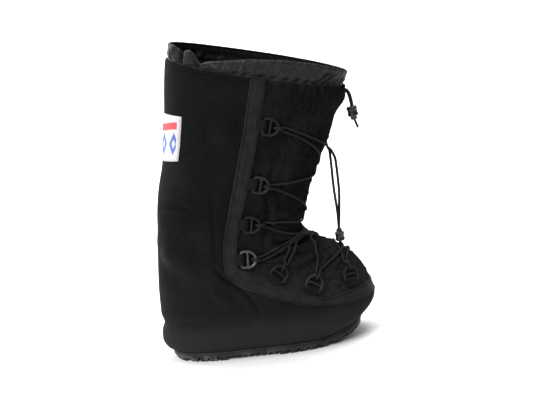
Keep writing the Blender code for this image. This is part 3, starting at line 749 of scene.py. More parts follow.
@dataclass
class Faces:
    """Points, faces and texture places gathered for one mesh."""

    points: list[Array] = field(default_factory=list)
    quads: list[Array] = field(default_factory=list)
    places: list[Array] = field(default_factory=list)
    linings: list[Array] = field(default_factory=list)
    count: int = 0

    def add(self, points: Array, quads: Array, places: Array, lining: Optional[Array] = None) -> None:
        """Adds points with their quads, the texture place of each corner and a mark on lining faces.

        Args:
            points: points in millimetres.
            quads: corner numbers among these points.
            places: texture places of the corners.
            lining: which quads are lining.
        """
        self.points.append(points.reshape(-1, 3))
        self.quads.append(quads + self.count)
        self.places.append(places)
        self.linings.append(np.zeros(len(quads), np.int32) if lining is None else lining.astype(np.int32))
        self.count += self.points[-1].shape[0]

    def plain(self, points: Array, quads: Array) -> None:
        """Adds points with their quads, and no texture places."""
        self.add(points, quads, np.zeros((len(quads), 4, 2)))

    def sheet(self, outer: Array, inner: Array, cloth: Array, closed: bool = False,
              cells: Optional[Array] = None) -> None:
        """Adds a wall: a quad on each skin for every cell, and rims along the free edges.

        Args:
            outer: grid of points on the outer skin.
            inner: grid of points on the inner skin.
            cloth: texture places of the grid, with one column more where the grid is closed.
            closed: whether the last column joins the first.
            cells: which cells exist; all of them if left out.
        """
        rows, columns = outer.shape[:2]
        if cells is None:
            cells = np.ones((rows - 1, columns if closed else columns - 1), bool)
        r, c = np.nonzero(cells)
        d = (c + 1) % columns
        quads = np.stack([r * columns + c, (r + 1) * columns + c, (r + 1) * columns + d, r * columns + d], 1)
        places = np.stack([cloth[r, c], cloth[r + 1, c], cloth[r + 1, c + 1], cloth[r, c + 1]], 1)
        count = rows * columns
        ends = np.roll(quads, -1, axis=1)
        free = ~np.isin(ends * count + quads, quads * count + ends)
        a, b = quads[free], ends[free]
        rims = np.stack([b, a, a + count, b + count], 1)
        near, far = places[free], np.roll(places, -1, axis=1)[free]
        faces = np.concatenate([quads, quads[:, ::-1] + count, rims])
        corners = np.concatenate([places, places[:, ::-1], np.stack([far, near, near, far], 1)])
        used, faces = np.unique(faces, return_inverse=True)
        points = np.concatenate([outer.reshape(-1, 3), inner.reshape(-1, 3)])
        lining = np.arange(len(corners)) // len(quads) == 1
        self.add(points[used], faces.reshape(-1, 4), corners, lining)

    def tube(self, path: Array, across: Array, out: Array, profile: Array) -> None:
        """Adds a closed profile carried along a path, with flat ends of quads.

        A texture place is the share of a turn round the profile and the length along the path.

        Args:
            path: points of the middle line.
            across: sideways direction, for all points or for each.
            out: outward direction, for all points or for each.
            profile: (across, out) points of an even number of corners, or one profile for each path point.
        """
        sides = profile.shape[-2]
        quads = body_quads(len(path), sides)
        r, c = np.divmod(np.arange((len(path) - 1) * sides), sides)
        wide, long = np.linspace(0.0, 1.0, sides + 1), run_length(path)
        corners = ((0, 0), (1, 0), (1, 1), (0, 1))
        places = np.zeros((len(quads), 4, 2))
        places[:len(r)] = np.stack([np.stack([wide[c + i], long[r + j]], 1) for i, j in corners], 1)
        self.add(carried(path, across, out, profile), quads, places)

    def loop(self, path: Array, across: Array, out: Array, profile: Array) -> None:
        """Adds a closed profile carried round a closed path."""
        self.plain(carried(path, across, out, profile), ring_quads(len(path), len(profile), True))

    def piece(self, name: str, finish: Material, nodes: Sequence[str] = (),
              slot: Optional[str] = None, sharp: Optional[float] = None,
              lining: Optional[Material] = None) -> Piece:
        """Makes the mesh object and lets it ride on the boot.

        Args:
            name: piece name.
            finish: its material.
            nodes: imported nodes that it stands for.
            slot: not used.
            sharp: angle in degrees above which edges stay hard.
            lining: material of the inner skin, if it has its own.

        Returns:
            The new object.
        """
        points = np.concatenate(self.points) * MM
        quads = np.concatenate(self.quads)
        mesh = bpy.data.meshes.new(name)
        mesh.vertices.add(len(points))
        mesh.vertices.foreach_set("co", points.ravel())
        mesh.loops.add(quads.size)
        mesh.loops.foreach_set("vertex_index", quads.ravel())
        mesh.polygons.add(len(quads))
        mesh.polygons.foreach_set("loop_start", np.arange(0, quads.size, 4))
        mesh.update(calc_edges=True)
        layer = mesh.uv_layers.new(name="cloth")
        layer.data.foreach_set("uv", np.concatenate(self.places).astype(np.float32).ravel())
        work = bmesh.new()
        work.from_mesh(mesh)
        bmesh.ops.recalc_face_normals(work, faces=work.faces)
        work.to_mesh(mesh)
        work.free()
        mesh.shade_smooth()
        if sharp is not None:
            mesh.set_sharp_from_angle(angle=math.radians(sharp))
        mesh.materials.append(finish)
        if lining is not None:
            mesh.materials.append(lining)
            mesh.polygons.foreach_set("material_index", np.concatenate(self.linings))
        made = bpy.data.objects.new(name, mesh)
        bpy.context.scene.collection.objects.link(made)
        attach(made, "root")
        if nodes:
            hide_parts(*nodes)
        return made


def rounded(width: float, height: float, sides: int, power: float = 2.0) -> Array:
    """Superellipse profile about the origin as (across, out) points, round at power 2 and boxy above it.

    Args:
        width: size across.
        height: size outward.
        sides: number of points.
        power: 2 for round, more for boxy.

    Returns:
        The profile's points.
    """
    turn = (np.arange(sides) + 0.5) * 2.0 * math.pi / sides
    shape = np.stack([np.cos(turn), np.sin(turn)], 1)
    return 0.5 * np.array([width, height]) * np.sign(shape) * np.abs(shape) ** (2.0 / power)


# Form of the boot


@dataclass(frozen=True)
class Section:
    """Level section of the fabric body: reach to back and front, half widths and roundness."""

    height: float
    back: float
    front: float
    wide: float
    outer: float
    inner: float
    round_back: float
    round_front: float


SECTIONS = tuple(Section(*row) for row in (
    (13.35, -9, 252, 0.62, 51.5, 49, 2.5, 2.2),
    (20, -17.5, 264, 0.63, 57.5, 55.5, 2.5, 2.3),
    (30, -21.2, 272, 0.63, 61, 59, 2.5, 2.3),
    (42, -19.8, 274.5, 0.62, 62, 60, 2.5, 2.3),
    (54, -15, 273.5, 0.61, 61, 59, 2.5, 2.3),
    (67, -17.3, 271, 0.58, 60, 58.5, 2.4, 2.2),
    (80, -16.5, 268.5, 0.55, 59, 57.5, 2.3, 2.1),
    (98, -15, 261, 0.51, 57.5, 55.5, 2.2, 2),
    (119, -11.7, 245, 0.48, 55, 53.5, 2.2, 1.9),
    (136, -9.5, 220.5, 0.46, 53, 51.5, 2.2, 1.9),
    (148, -8.2, 197, 0.46, 52, 51, 2.2, 1.95),
    (161, -6.6, 188.5, 0.47, 51.5, 51, 2.2, 2.1),
    (180, -2.5, 197, 0.48, 52, 52, 2.2, 2.2),
    (205, 1.5, 206, 0.50, 53, 53, 2.2, 2.2),
    (237, 9, 219.7, 0.50, 55, 55, 2.2, 2.2),
    (271, 20, 240.5, 0.50, 57, 57, 2.2, 2.2),
    (306, 28, 257, 0.50, 58.5, 58.5, 2.2, 2.2),
    (340, 35, 271, 0.50, 60, 60, 2.2, 2.2),
    (372, 40.5, 282, 0.50, 60.5, 60.5, 2.2, 2.2),
    (400, 46.5, 291, 0.50, 61, 61, 2.2, 2.2),
    (430, 56, 300, 0.50, 61, 61, 2.2, 2.2),
))
SECTION_COLUMNS = table(SECTIONS).T


@dataclass(frozen=True)
class Fold:
    """Crease of the cloth along a path of (angle, height) points, with its depth and half width."""

    name: str
    kind: FoldKind
    depth: float
    width: float
    path: tuple[Pair, ...]
    mirrored: bool = True


TROUGH, RIDGE = FoldKind
FOLDS = tuple(Fold(*row) for row in (
    ("ankle_fold", TROUGH, 5.4, 2.9,
     ((104, 153), (103.5, 121.3), (98.7, 102.7), (96.9, 84.8), (97.1, 71.6), (99, 56))),
    ("ankle_crest", RIDGE, 3, 8, ((116, 110), (109, 88), (106, 66))),
    ("ankle_front", RIDGE, 1.6, 7, ((90, 92), (88.5, 78), (89, 62))),
    ("heel_band", TROUGH, 2.4, 5, ((180, 58), (140, 59), (110, 53), (92, 52))),
    ("calf_level", TROUGH, 3.4, 3.8, ((176, 214), (153, 214.8), (130, 215.8), (108, 212)), False),
    ("calf_swell", RIDGE, 2.8, 13, ((170, 196), (140, 195), (116, 192)), False),
    ("tape_side", TROUGH, 1.8, 3, ((103, 232), (100.3, 198.1), (94.5, 160), (101, 128))),
    ("heel_diagonal", RIDGE, 2.4, 13, ((158, 168), (128, 149), (113, 126)), False),
    ("back_dent", TROUGH, 2.2, 12, ((176, 172), (150, 128), (128, 108)), False),
    ("inner_dent", TROUGH, 2.6, 11, ((-176, 205), (-140, 196), (-112, 178)), False),
    ("shaft_sway", RIDGE, 2, 20, ((140, 300), (126, 262), (120, 232))),
    ("shaft_dent", TROUGH, 1.6, 12, ((118, 352), (112, 318), (112, 286))),
    ("throat_line", TROUGH, 4.2, 4.2,
     ((69, 290), (66, 225), (61, 185), (58, 162), (60, 144))),
    ("throat_crest", RIDGE, 2.6, 7, ((53, 285), (50, 235), (47, 195))),
    ("instep_high", TROUGH, 3.4, 4, ((56, 182), (38, 174), (22, 164), (8, 160))),
    ("instep_deep", TROUGH, 4.4, 4.2, ((54, 160), (44, 147), (28, 144.5), (6, 145))),
    ("instep_crest", RIDGE, 2.2, 4.6, ((62, 148), (50, 140.5), (34, 137.5), (14, 138))),
    ("instep_second", TROUGH, 3.6, 3.8,
     ((72, 134), (60, 137), (49, 138), (45, 131), (36, 124))),
    ("vamp_trough", TROUGH, 2.8, 4, ((68, 109), (58, 113), (46, 119), (30, 122))),
    ("vamp_crest", RIDGE, 1.8, 5, ((62, 121), (52, 123.5), (40, 124))),
    ("toe_wrinkle_a", TROUGH, 2.4, 2.8,
     ((53, 101), (48, 106), (36, 113.5), (18, 119))),
    ("toe_wrinkle_b", TROUGH, 2.2, 2.6, ((51, 88), (42, 97), (31, 106), (18, 111))),
    ("toe_wrinkle_c", TROUGH, 1.9, 2.4, ((49, 76), (43, 86), (36, 95))),
    ("toe_wrinkle_d", TROUGH, 1.7, 2.6, ((24, 82), (18, 92), (8, 101))),
    ("front_pull_low", TROUGH, 3.2, 4.6, ((60, 205), (38, 192), (14, 184))),
    ("front_pull_middle", TROUGH, 3, 5,
     ((71, 258), (58, 257), (40, 252), (20, 240))),
    ("front_pull_high", TROUGH, 2.6, 5.5, ((66, 302), (48, 284), (18, 266))),
    ("top_sag", TROUGH, 1.8, 7, ((72, 338), (54, 333), (34, 320))),
    ("front_brow", RIDGE, 5.6, 15,
     ((-52, 330), (-26, 326), (0, 325), (26, 326), (52, 330)), False),
))


@dataclass(frozen=True)
class TapeRow:
    """Edges of the tape on the outer side: places from the heel line and heights."""

    inner_place: float
    inner_height: float
    outer_place: float
    outer_height: float


TAPE_ROWS = tuple(TapeRow(*row) for row in (
    (176.4, 367, 157, 371.5),
    (158.6, 308, 138.5, 312),
    (139.3, 252, 119.3, 256),
    (120.4, 202, 101.5, 206),
    (107, 165, 89, 168),
    (102.6, 137, 84.6, 142.5),
    (102.6, 131, 83.8, 125.5),
    (106.5, 127.8, 97.4, 104.2),
    (146, 104.2, 135, 86.6),
    (183, 84.8, 172, 69.8),
    (204.5, 71.6, 192.5, 62.9),
    (208, 70.6, 214, 59.5),
    (232.5, 71.2, 237, 55.5),
    (260, 73, 262, 51.5),
    (300, 73.5, 300, 50),
))
TAPE_KNEE = 6


@dataclass
class BootForm:
    """Outer skin of the fabric body, with its folds."""

    toe_bend: float = 9.0
    toe_spring: float = 14.0
    spring_start: float = 190.0
    spring_length: float = 64.0
    spring_reach: float = 120.0
    arch_place: float = 96.0
    arch_length: float = 38.0
    arch_inner: float = 8.0
    arch_outer: float = 3.0
    bottom: float = 13.35
    seam_back_height: float = 398.0
    seam_back_place: float = 46.4
    seam_fall: float = 0.2817
    seam_guess: float = 370.0
    seam_rounds: int = 12
    seam_lift_front: float = 4.0
    seam_lift_back: float = 5.0
    edge_top: float = 368.0
    waist_top: float = 60.0
    waist_fade: float = 46.0
    bend_start: float = 90.0
    bend_length: float = 180.0
    bend_top: float = 165.0
    bend_fade: float = 65.0
    fold_points: int = 5
    fold_floor: float = 18.0
    fold_rise: float = 14.0
    fold_reach: float = 3.2
    fold_fade: float = 0.28
    shoulder: float = 0.28
    shoulder_place: float = 1.9
    shoulder_width: float = 0.9
    calm: float = 15.0
    calm_middle: float = 0.35
    calm_spots: Optional[Array] = None

    def section_at(self, height: Array) -> dict[str, Array]:
        """Section sizes at any height, each column smoothed on its own, and the place of the widest part.

        Args:
            height: heights.

        Returns:
            Sizes by name.
        """
        heights, *columns = SECTION_COLUMNS
        names = ("back", "front", "wide", "outer", "inner", "round_back", "round_front")
        row = {name: monotone(heights, column, height) for name, column in zip(names, columns)}
        row["widest"] = row["back"] + (row["front"] - row["back"]) * row["wide"]
        return row

    def toe_lift(self, place: Array) -> Array:
        """Toe spring: the square of the way past the ball, scaled to its height."""
        past = np.clip(place - self.spring_start, 0.0, self.spring_reach)
        return self.toe_spring * (past / self.spring_length) ** 2

    def surface(self, angle: Array, height: Array) -> Array:
        """Plain skin: two half superellipses at each height, bent at the toe and waisted near the sole.

        Args:
            angle: angles in degrees.
            height: heights before the toe spring is added.

        Returns:
            Points in the boot's frame.
        """
        height = np.asarray(height, float)
        turn = np.radians(np.asarray(angle, float))
        row = self.section_at(height)
        widest = row["widest"]
        along, aside = np.cos(turn), np.sin(turn)
        power = 2.0 / np.where(along >= 0.0, row["round_front"], row["round_back"])
        reach = np.where(along >= 0.0, row["front"] - widest, widest - row["back"])
        x = widest + reach * np.sign(along) * np.abs(along) ** power
        width = np.where(aside >= 0.0, row["outer"], row["inner"])
        low = np.clip((self.waist_top - height) / self.waist_fade, 0.0, 1.0)
        depth = np.where(aside >= 0.0, self.arch_outer, self.arch_inner)
        waist = depth * np.exp(-((x - self.arch_place) / self.arch_length) ** 2) * low
        y = -(width - waist) * np.sign(aside) * np.abs(aside) ** power
        bend = (np.maximum(x - self.bend_start, 0.0) / self.bend_length) ** 2
        y = y + self.toe_bend * bend * ease((self.bend_top - height) / self.bend_fade)
        return np.stack([x - HEEL_TO_MIDDLE, y, height + self.toe_lift(x) * low], -1)

    def tangents(self, angle: Array, height: Array) -> tuple[Array, Array]:
        """Steps along the skin for one degree and for one millimetre of height.

        Args:
            angle: angles in degrees.
            height: heights on the skin.

        Returns:
            The steps around and upward.
        """
        angle, height = np.asarray(angle, float), np.asarray(height, float)
        around = self.surface(angle + 0.5, height) - self.surface(angle - 0.5, height)
        upward = (self.surface(angle, height + 0.25) - self.surface(angle, height - 0.25)) / 0.5
        return around, upward

    def outward(self, angle: Array, height: Array) -> Array:
        """Outward direction of the plain skin."""
        around, upward = self.tangents(angle, np.maximum(height, self.bottom + 0.26))
        return unit(np.cross(upward, around))

    def creases(self, angle: Array, height: Array) -> Array:
        """Height of all folds at a place, soft in section and fading at both ends.

        A fold is its depth times a bell of the distance from its path, with a low shoulder on either side.
        It dies away near the sole and under the lace rings.

        Args:
            angle: angles in degrees.
            height: heights on the skin.

        Returns:
            Height above the plain skin.
        """
        shape = np.broadcast(angle, height).shape
        spots = self.surface(angle, height).reshape(-1, 3)
        total = np.zeros(len(spots))
        for fold in FOLDS:
            for side in (1.0, -1.0) if fold.mirrored else (1.0,):
                total += self.crease(fold, side, spots)
        total = total.reshape(shape) * ease((np.asarray(height) - self.fold_floor) / self.fold_rise)
        if self.calm_spots is not None:
            near = np.linalg.norm(spots[:, None] - self.calm_spots[None], axis=-1).min(1).reshape(shape)
            total = total * ease(near / self.calm - self.calm_middle)
        return total

    def crease(self, fold: Fold, side: float, spots: Array) -> Array:
        """Height of one fold at many points.

        Args:
            fold: the fold.
            side: 1 for its own side and -1 for its mirror image.
            spots: points on the plain skin.

        Returns:
            Signed height for each point.
        """
        rows = np.array(fold.path, float)
        share = np.linspace(0.0, len(rows) - 1.0, self.fold_points * len(rows))
        base = np.arange(len(rows), dtype=float)
        line = self.surface(side * monotone(base, rows[:, 0], share), monotone(base, rows[:, 1], share))
        reach = self.fold_reach * fold.width
        inside = np.all((spots > line.min(0) - reach) & (spots < line.max(0) + reach), axis=1)
        start, way = line[:-1], np.diff(line, axis=0)
        from_start = spots[inside][:, None] - start[None]
        t = np.clip((from_start * way).sum(-1) / (way * way).sum(-1), 0.0, 1.0)
        gap = np.linalg.norm(from_start - t[..., None] * way, axis=-1)
        k = gap.argmin(1)
        rows_of = np.arange(len(k))
        along = (k + t[rows_of, k]) / len(way)
        far = gap[rows_of, k] / fold.width
        sides = np.exp(-((far - self.shoulder_place) / self.shoulder_width) ** 2)
        bell = np.exp(-far ** 2) - self.shoulder * sides
        fade = ease(along / self.fold_fade) * ease((1.0 - along) / self.fold_fade)
        result = np.zeros(len(spots))
        result[inside] = fold.kind.value * fold.depth * bell * fade
        return result

    def skin(self, angle: Array, height: Array, lift: Amount = 0.0) -> Array:
        """Points a set distance outside the folded skin.

        Args:
            angle: angles in degrees.
            height: heights on the skin.
            lift: distance outside the folds.

        Returns:
            Points in the boot's frame.
        """
        angle, height = np.broadcast_arrays(np.asarray(angle, float), np.asarray(height, float))
        out = self.creases(angle, height) + lift
        return self.surface(angle, height) + self.outward(angle, height) * out[..., None]

    def angle_of(self, place: Array, height: Array) -> Array:
        """Angle on the outer side of a place given from the heel line.

        Args:
            place: places from the heel line.
            height: heights on the skin.

        Returns:
            Angles in degrees.
        """
        row = self.section_at(height)
        widest = row["widest"]
        ahead = np.clip((place - widest) / (row["front"] - widest), 0.0, 1.0) ** (row["round_front"] / 2.0)
        behind = np.clip((widest - place) / (widest - row["back"]), 0.0, 1.0) ** (row["round_back"] / 2.0)
        front = np.degrees(np.arccos(ahead))
        return np.where(place >= widest, front, 180.0 - np.degrees(np.arccos(behind)))

    def seam_height(self, angle: Array) -> Array:
        """Height of the slanted seam between shaft and collar.

        Args:
            angle: angles in degrees.

        Returns:
            Heights.
        """
        height = np.full_like(np.asarray(angle, float), self.seam_guess)
        for _ in range(self.seam_rounds):
            place = self.surface(angle, height)[..., 0] + HEEL_TO_MIDDLE
            height = self.seam_back_height - self.seam_fall * (place - self.seam_back_place)
        back = (0.5 - 0.5 * np.cos(np.radians(angle))) ** 2
        return height + self.seam_lift_front + self.seam_lift_back * back

    def edge_angles(self, rows: Array) -> Array:
        """Tape rows with their two places turned into angles.

        Args:
            rows: places and heights of both edges.

        Returns:
            Angles and heights of both edges.
        """
        inner = self.angle_of(rows[:, 0], rows[:, 1])
        outer = self.angle_of(rows[:, 2], rows[:, 3])
        return np.stack([inner, rows[:, 1], outer, rows[:, 3]], 1)

    def tape_edges(self) -> Array:
        """Inner angle, inner height, outer angle and outer height of the tape at each row."""
        return self.edge_angles(table(TAPE_ROWS))

    def tape_middle(self) -> Array:
        """Angle and height of the tape's middle at each row."""
        edges = self.tape_edges()
        return (edges[:, :2] + edges[:, 2:]) / 2.0

    def edge_angle(self, height: Array) -> Array:
        """Angle of the joint between upper and gusset on the shaft."""
        rows = self.tape_middle()[:TAPE_KNEE + 1][::-1]
        return np.interp(height, rows[:, 1], rows[:, 0])

    def girdle_height(self, angle: Array) -> Array:
        """Height of the joint between upper and gusset along the foot."""
        rows = np.delete(self.tape_middle(), TAPE_KNEE + 1, axis=0)[TAPE_KNEE:][::-1]
        return np.interp(np.abs(angle), rows[:, 0], rows[:, 1])

    def columns(self, edge: Array, front: int, back: int) -> Array:
        """Angles of all grid columns for rows whose joint with the gusset is at the given angles.

        Args:
            edge: angle of the joint for each row.
            front: cells across the gusset.
            back: cells round the back.

        Returns:
            Grid of angles.
        """
        ahead = np.linspace(-1.0, 1.0, front + 1)[None] * edge[:, None]
        share = np.linspace(0.0, 1.0, back + 1)[1:-1]
        return np.concatenate([ahead, edge[:, None] + share[None] * (360.0 - 2.0 * edge[:, None])], 1)

    def shaft_grid(self, share: Array, front: int, back: int) -> tuple[Array, Array]:
        """Angles and heights of slanted rows from the tape's knee to the seam.

        Args:
            share: shares of the way up, one for each row.
            front: cells across the gusset.
            back: cells round the back.

        Returns:
            Grids of angles and heights.
        """
        knee = self.tape_middle()[TAPE_KNEE, 1]
        top = self.seam_height(self.edge_angle(np.array([self.edge_top])))[0]
        angles = self.columns(self.edge_angle(knee + share * (top - knee)), front, back)
        start = np.full(angles.shape[1], knee)
        start[:front + 1] = self.girdle_height(angles[0, :front + 1])
        return angles, start + share[:, None] * (self.seam_height(angles) - start)


def cloth_places(points: Array, datum: int, closed: bool = False) -> Array:
    """Texture places in millimetres: lengths along each row and up each column.

    Args:
        points: grid of points.
        datum: column where the length across is zero.
        closed: whether the last column joins the first.

    Returns:
        Grid of places.
    """
    if closed:
        points = np.concatenate([points, points[:, :1]], 1)
    across = run_length(points, 1)
    return np.stack([across - across[:, datum:datum + 1], run_length(points, 0)], -1)


# Sub-assemblies


@dataclass
class Part:
    """Sub-assembly that lies on the boot's form and wears its finishes."""

    form: BootForm
    finishes: Finishes


@dataclass
class Upper(Part):
    """Hollow shell of heavy nylon: flange under the foot, band round it and a shaft open along the front."""

    wall: float = 2.6
    flange: float = 12.0
    front_cells: int = 124
    back_cells: int = 150
    lower_rows: int = 44
    shaft_rows: int = 104
    shaft_top: float = 0.984
    hem: tuple[Pair, ...] = ((0.990, 0.0), (0.994, 0.12), (0.9975, 0.45), (1.0, 1.15))

    def build(self) -> Piece:
        """Grid of the folded skin and of the same grid one wall further in, with a rolled top hem.

        Returns:
            The upper.
        """
        form = self.form
        share = np.concatenate([np.linspace(0.0, self.shaft_top, self.shaft_rows),
                                [row[0] for row in self.hem]])
        angles, heights = form.shaft_grid(share, self.front_cells, self.back_cells)
        low = np.linspace(0.0, 1.0, self.lower_rows)
        low_heights = form.bottom + low[:, None] * (heights[0] - form.bottom)
        angles = np.concatenate([np.repeat(angles[:1], len(low), 0), angles[1:]])
        heights = np.concatenate([low_heights, heights[1:]])
        normals = form.outward(angles, heights)
        roll = np.zeros(len(angles))
        roll[-len(self.hem):] = [row[1] for row in self.hem]
        points = form.skin(angles, heights)
        plan = unit(normals[0] * np.array([1.0, 1.0, 0.0]))
        lip = points[0] - plan * self.flange
        lip[:, 2] = form.bottom + form.toe_lift(lip[:, 0] + HEEL_TO_MIDDLE)
        down = np.array([0.0, 0.0, -1.0])
        corner = (normals[0] + down) / (1.0 + normals[0] @ down)[:, None]
        outer = np.concatenate([lip[None], points])
        offset = np.concatenate([np.broadcast_to(down, (1,) + lip.shape), corner[None], normals[1:]])
        roll = np.concatenate([[0.0], roll])[:, None, None]
        cells = np.ones((len(outer) - 1, outer.shape[1]), bool)
        cells[len(low):, :self.front_cells] = False
        heel = self.front_cells + self.back_cells // 2
        faces = Faces()
        faces.sheet(outer - roll * offset, outer - (self.wall - roll) * offset,
                    cloth_places(outer, heel, True), True, cells)
        return faces.piece("boot_upper", self.finishes.shell, ["upper"], "nylon",
                           lining=self.finishes.lining)


@dataclass
class Gusset(Part):
    """Soft front panel between the runs of tape, creased at the instep and gathered under the collar."""

    wall: float = 2.6
    gap: float = 0.35
    cells: int = 116
    rows: int = 150
    gather: float = 0.9
    gather_reach: float = 26.0
    gather_waves: Triple = (9.0, 13.5, 6.2)
    ruffle: float = 1.0
    across_waves: Pair = (19.0, 11.0)
    up_waves: Pair = (27.0, 13.0)
    edge_calm: float = 0.22
    hidden_cells: int = 8
    fractions: tuple[float, ...] = (
        0.0, 0.06, 0.12, 0.18, 0.24, 0.29, 0.325, 0.352, 0.372, 0.40, 0.47, 0.57, 0.70, 0.85, 1.0)

    def build(self) -> Piece:
        """Grid of the folded skin with gathers that fade below the seam, and fine rumples elsewhere.

        Returns:
            The gusset.
        """
        form = self.form
        share = np.interp(np.linspace(0.0, len(self.fractions) - 1.0, self.rows),
                          np.arange(len(self.fractions)), self.fractions)
        angles, heights = form.shaft_grid(share, self.cells, self.hidden_cells)
        angles, heights = angles[:, :self.cells + 1], heights[:, :self.cells + 1]
        normals = form.outward(angles, heights)
        plain = form.surface(angles, heights)
        edge = np.linspace(-1.0, 1.0, self.cells + 1)[None]
        free = ease((1.0 - np.abs(edge)) / self.edge_calm)
        across = run_length(plain, 1)
        up = run_length(plain, 0)
        below = form.seam_height(angles[-1])[None] - heights
        gathers = waver(across + 0.12 * up, self.gather_waves, 0.4) * np.exp(-below / self.gather_reach)
        rumple = waver(across + 0.5 * up, self.across_waves, 1.1)
        rumple = rumple * waver(up - 0.3 * across, self.up_waves, 2.3)
        lift = free * (self.gather * gathers + self.ruffle * rumple)
        points = form.skin(angles, heights, lift)
        points[0] += self.gap * unit(points[1] - points[0])
        points[:, 0] += self.gap * unit(points[:, 1] - points[:, 0])
        points[:, -1] += self.gap * unit(points[:, -2] - points[:, -1])
        faces = Faces()
        faces.sheet(points, points - self.wall * normals, cloth_places(points, self.cells // 2))
        made = faces.piece("front_gusset", self.finishes.gusset, ["gusset"], "soft_nylon",
                           lining=self.finishes.lining)
        ridge = run_length(points, 0)[-1].max()
        spread(points) / ridge * MM
        return made


@dataclass(frozen=True)
class RimPoint:
    """Rim of the collar at an angle: its rise above the seam and how far it stands out there."""

    angle: float
    rise: float
    bulge: float


COLLAR_RIM = tuple(RimPoint(*row) for row in (
    (-180, 19.5, -1), (-160, 19.5, 0), (-135, 19.6, 0), (-90, 19.8, 0.5),
    (-45, 18.8, 1), (-20, 18.2, 2), (0, 18.6, 3), (12.5, 19.8, 3),
    (28, 23.2, 2), (42.5, 25.6, 0.5), (57.5, 27, -0.5), (72, 27, -1),
    (88.5, 23.8, -1), (104.8, 17, -0.5), (117, 12, 0), (121, 9.4, -1),
    (124.5, 6.2, -3.5), (127.5, 11.5, -2), (133, 21.4, 3.5), (138.5, 18, 1.5),
    (142, 13, -6.5), (146, 18, -1), (153, 22.4, 2.5), (163, 21.6, 1),
    (171, 19.6, -3), (180, 19.5, -1),
))


@dataclass(frozen=True)
class CollarCrease:
    """Crease of the collar: its angle at the seam, its slant to the rim, half width, depth and reach."""

    angle: float
    slant: float
    width: float
    depth: float
    high: float
    low: float = 0.02


COLLAR_CREASES = tuple(CollarCrease(*row) for row in (
    (101, -5, 1.7, -2.2, 0.45), (95, -5, 1.6, -2, 0.40), (87.5, -6, 1.6, -1.8, 0.36),
    (80, -6, 1.7, -2.6, 0.42), (72.5, -7, 1.7, -2.4, 0.38), (65, -7, 1.8, -2.8, 0.46),
    (58, -9, 1.8, -2.4, 0.40), (51.5, -20, 2.3, -3.4, 0.86), (44.5, -20, 2.2, -3, 0.80),
    (37, -16, 2.4, -2.6, 0.62), (29, -9, 2.6, -2.6, 0.60), (20, -4, 2.8, -2.6, 0.70),
    (9, 2, 2.8, -2.4, 0.66), (-3, 3, 2.8, -2.4, 0.70), (-15, 6, 2.8, -2.6, 0.64),
    (-28, 10, 2.6, -2.6, 0.60), (-40, 14, 2.4, -2.6, 0.70), (-52, 12, 2.2, -2.4, 0.50),
    (-66, 7, 2, -2.2, 0.44), (-81, 6, 1.8, -2, 0.40), (-97, 5, 1.8, -2, 0.42),
    (-114, 5, 2, -2.2, 0.46), (-131, 4, 2.4, -2.6, 0.60), (-150, -4, 2.6, -2.8, 0.70),
    (-168, 4, 2.6, -3, 0.80), (106, 16, 3.2, 2.4, 1.10, 0.05), (114, 10, 2.2, -1.8, 0.80),
    (126, 0, 2.4, -2.6, 0.90), (136.5, -3, 3.4, 2.2, 1.10, 0.05), (142.5, 0, 2.2, -3.6, 1.10),
    (150, 3, 3, 2.2, 1.10, 0.05), (159, -2, 2.2, -2.8, 0.85), (171, 2, 2.6, -2.4, 0.90),
))


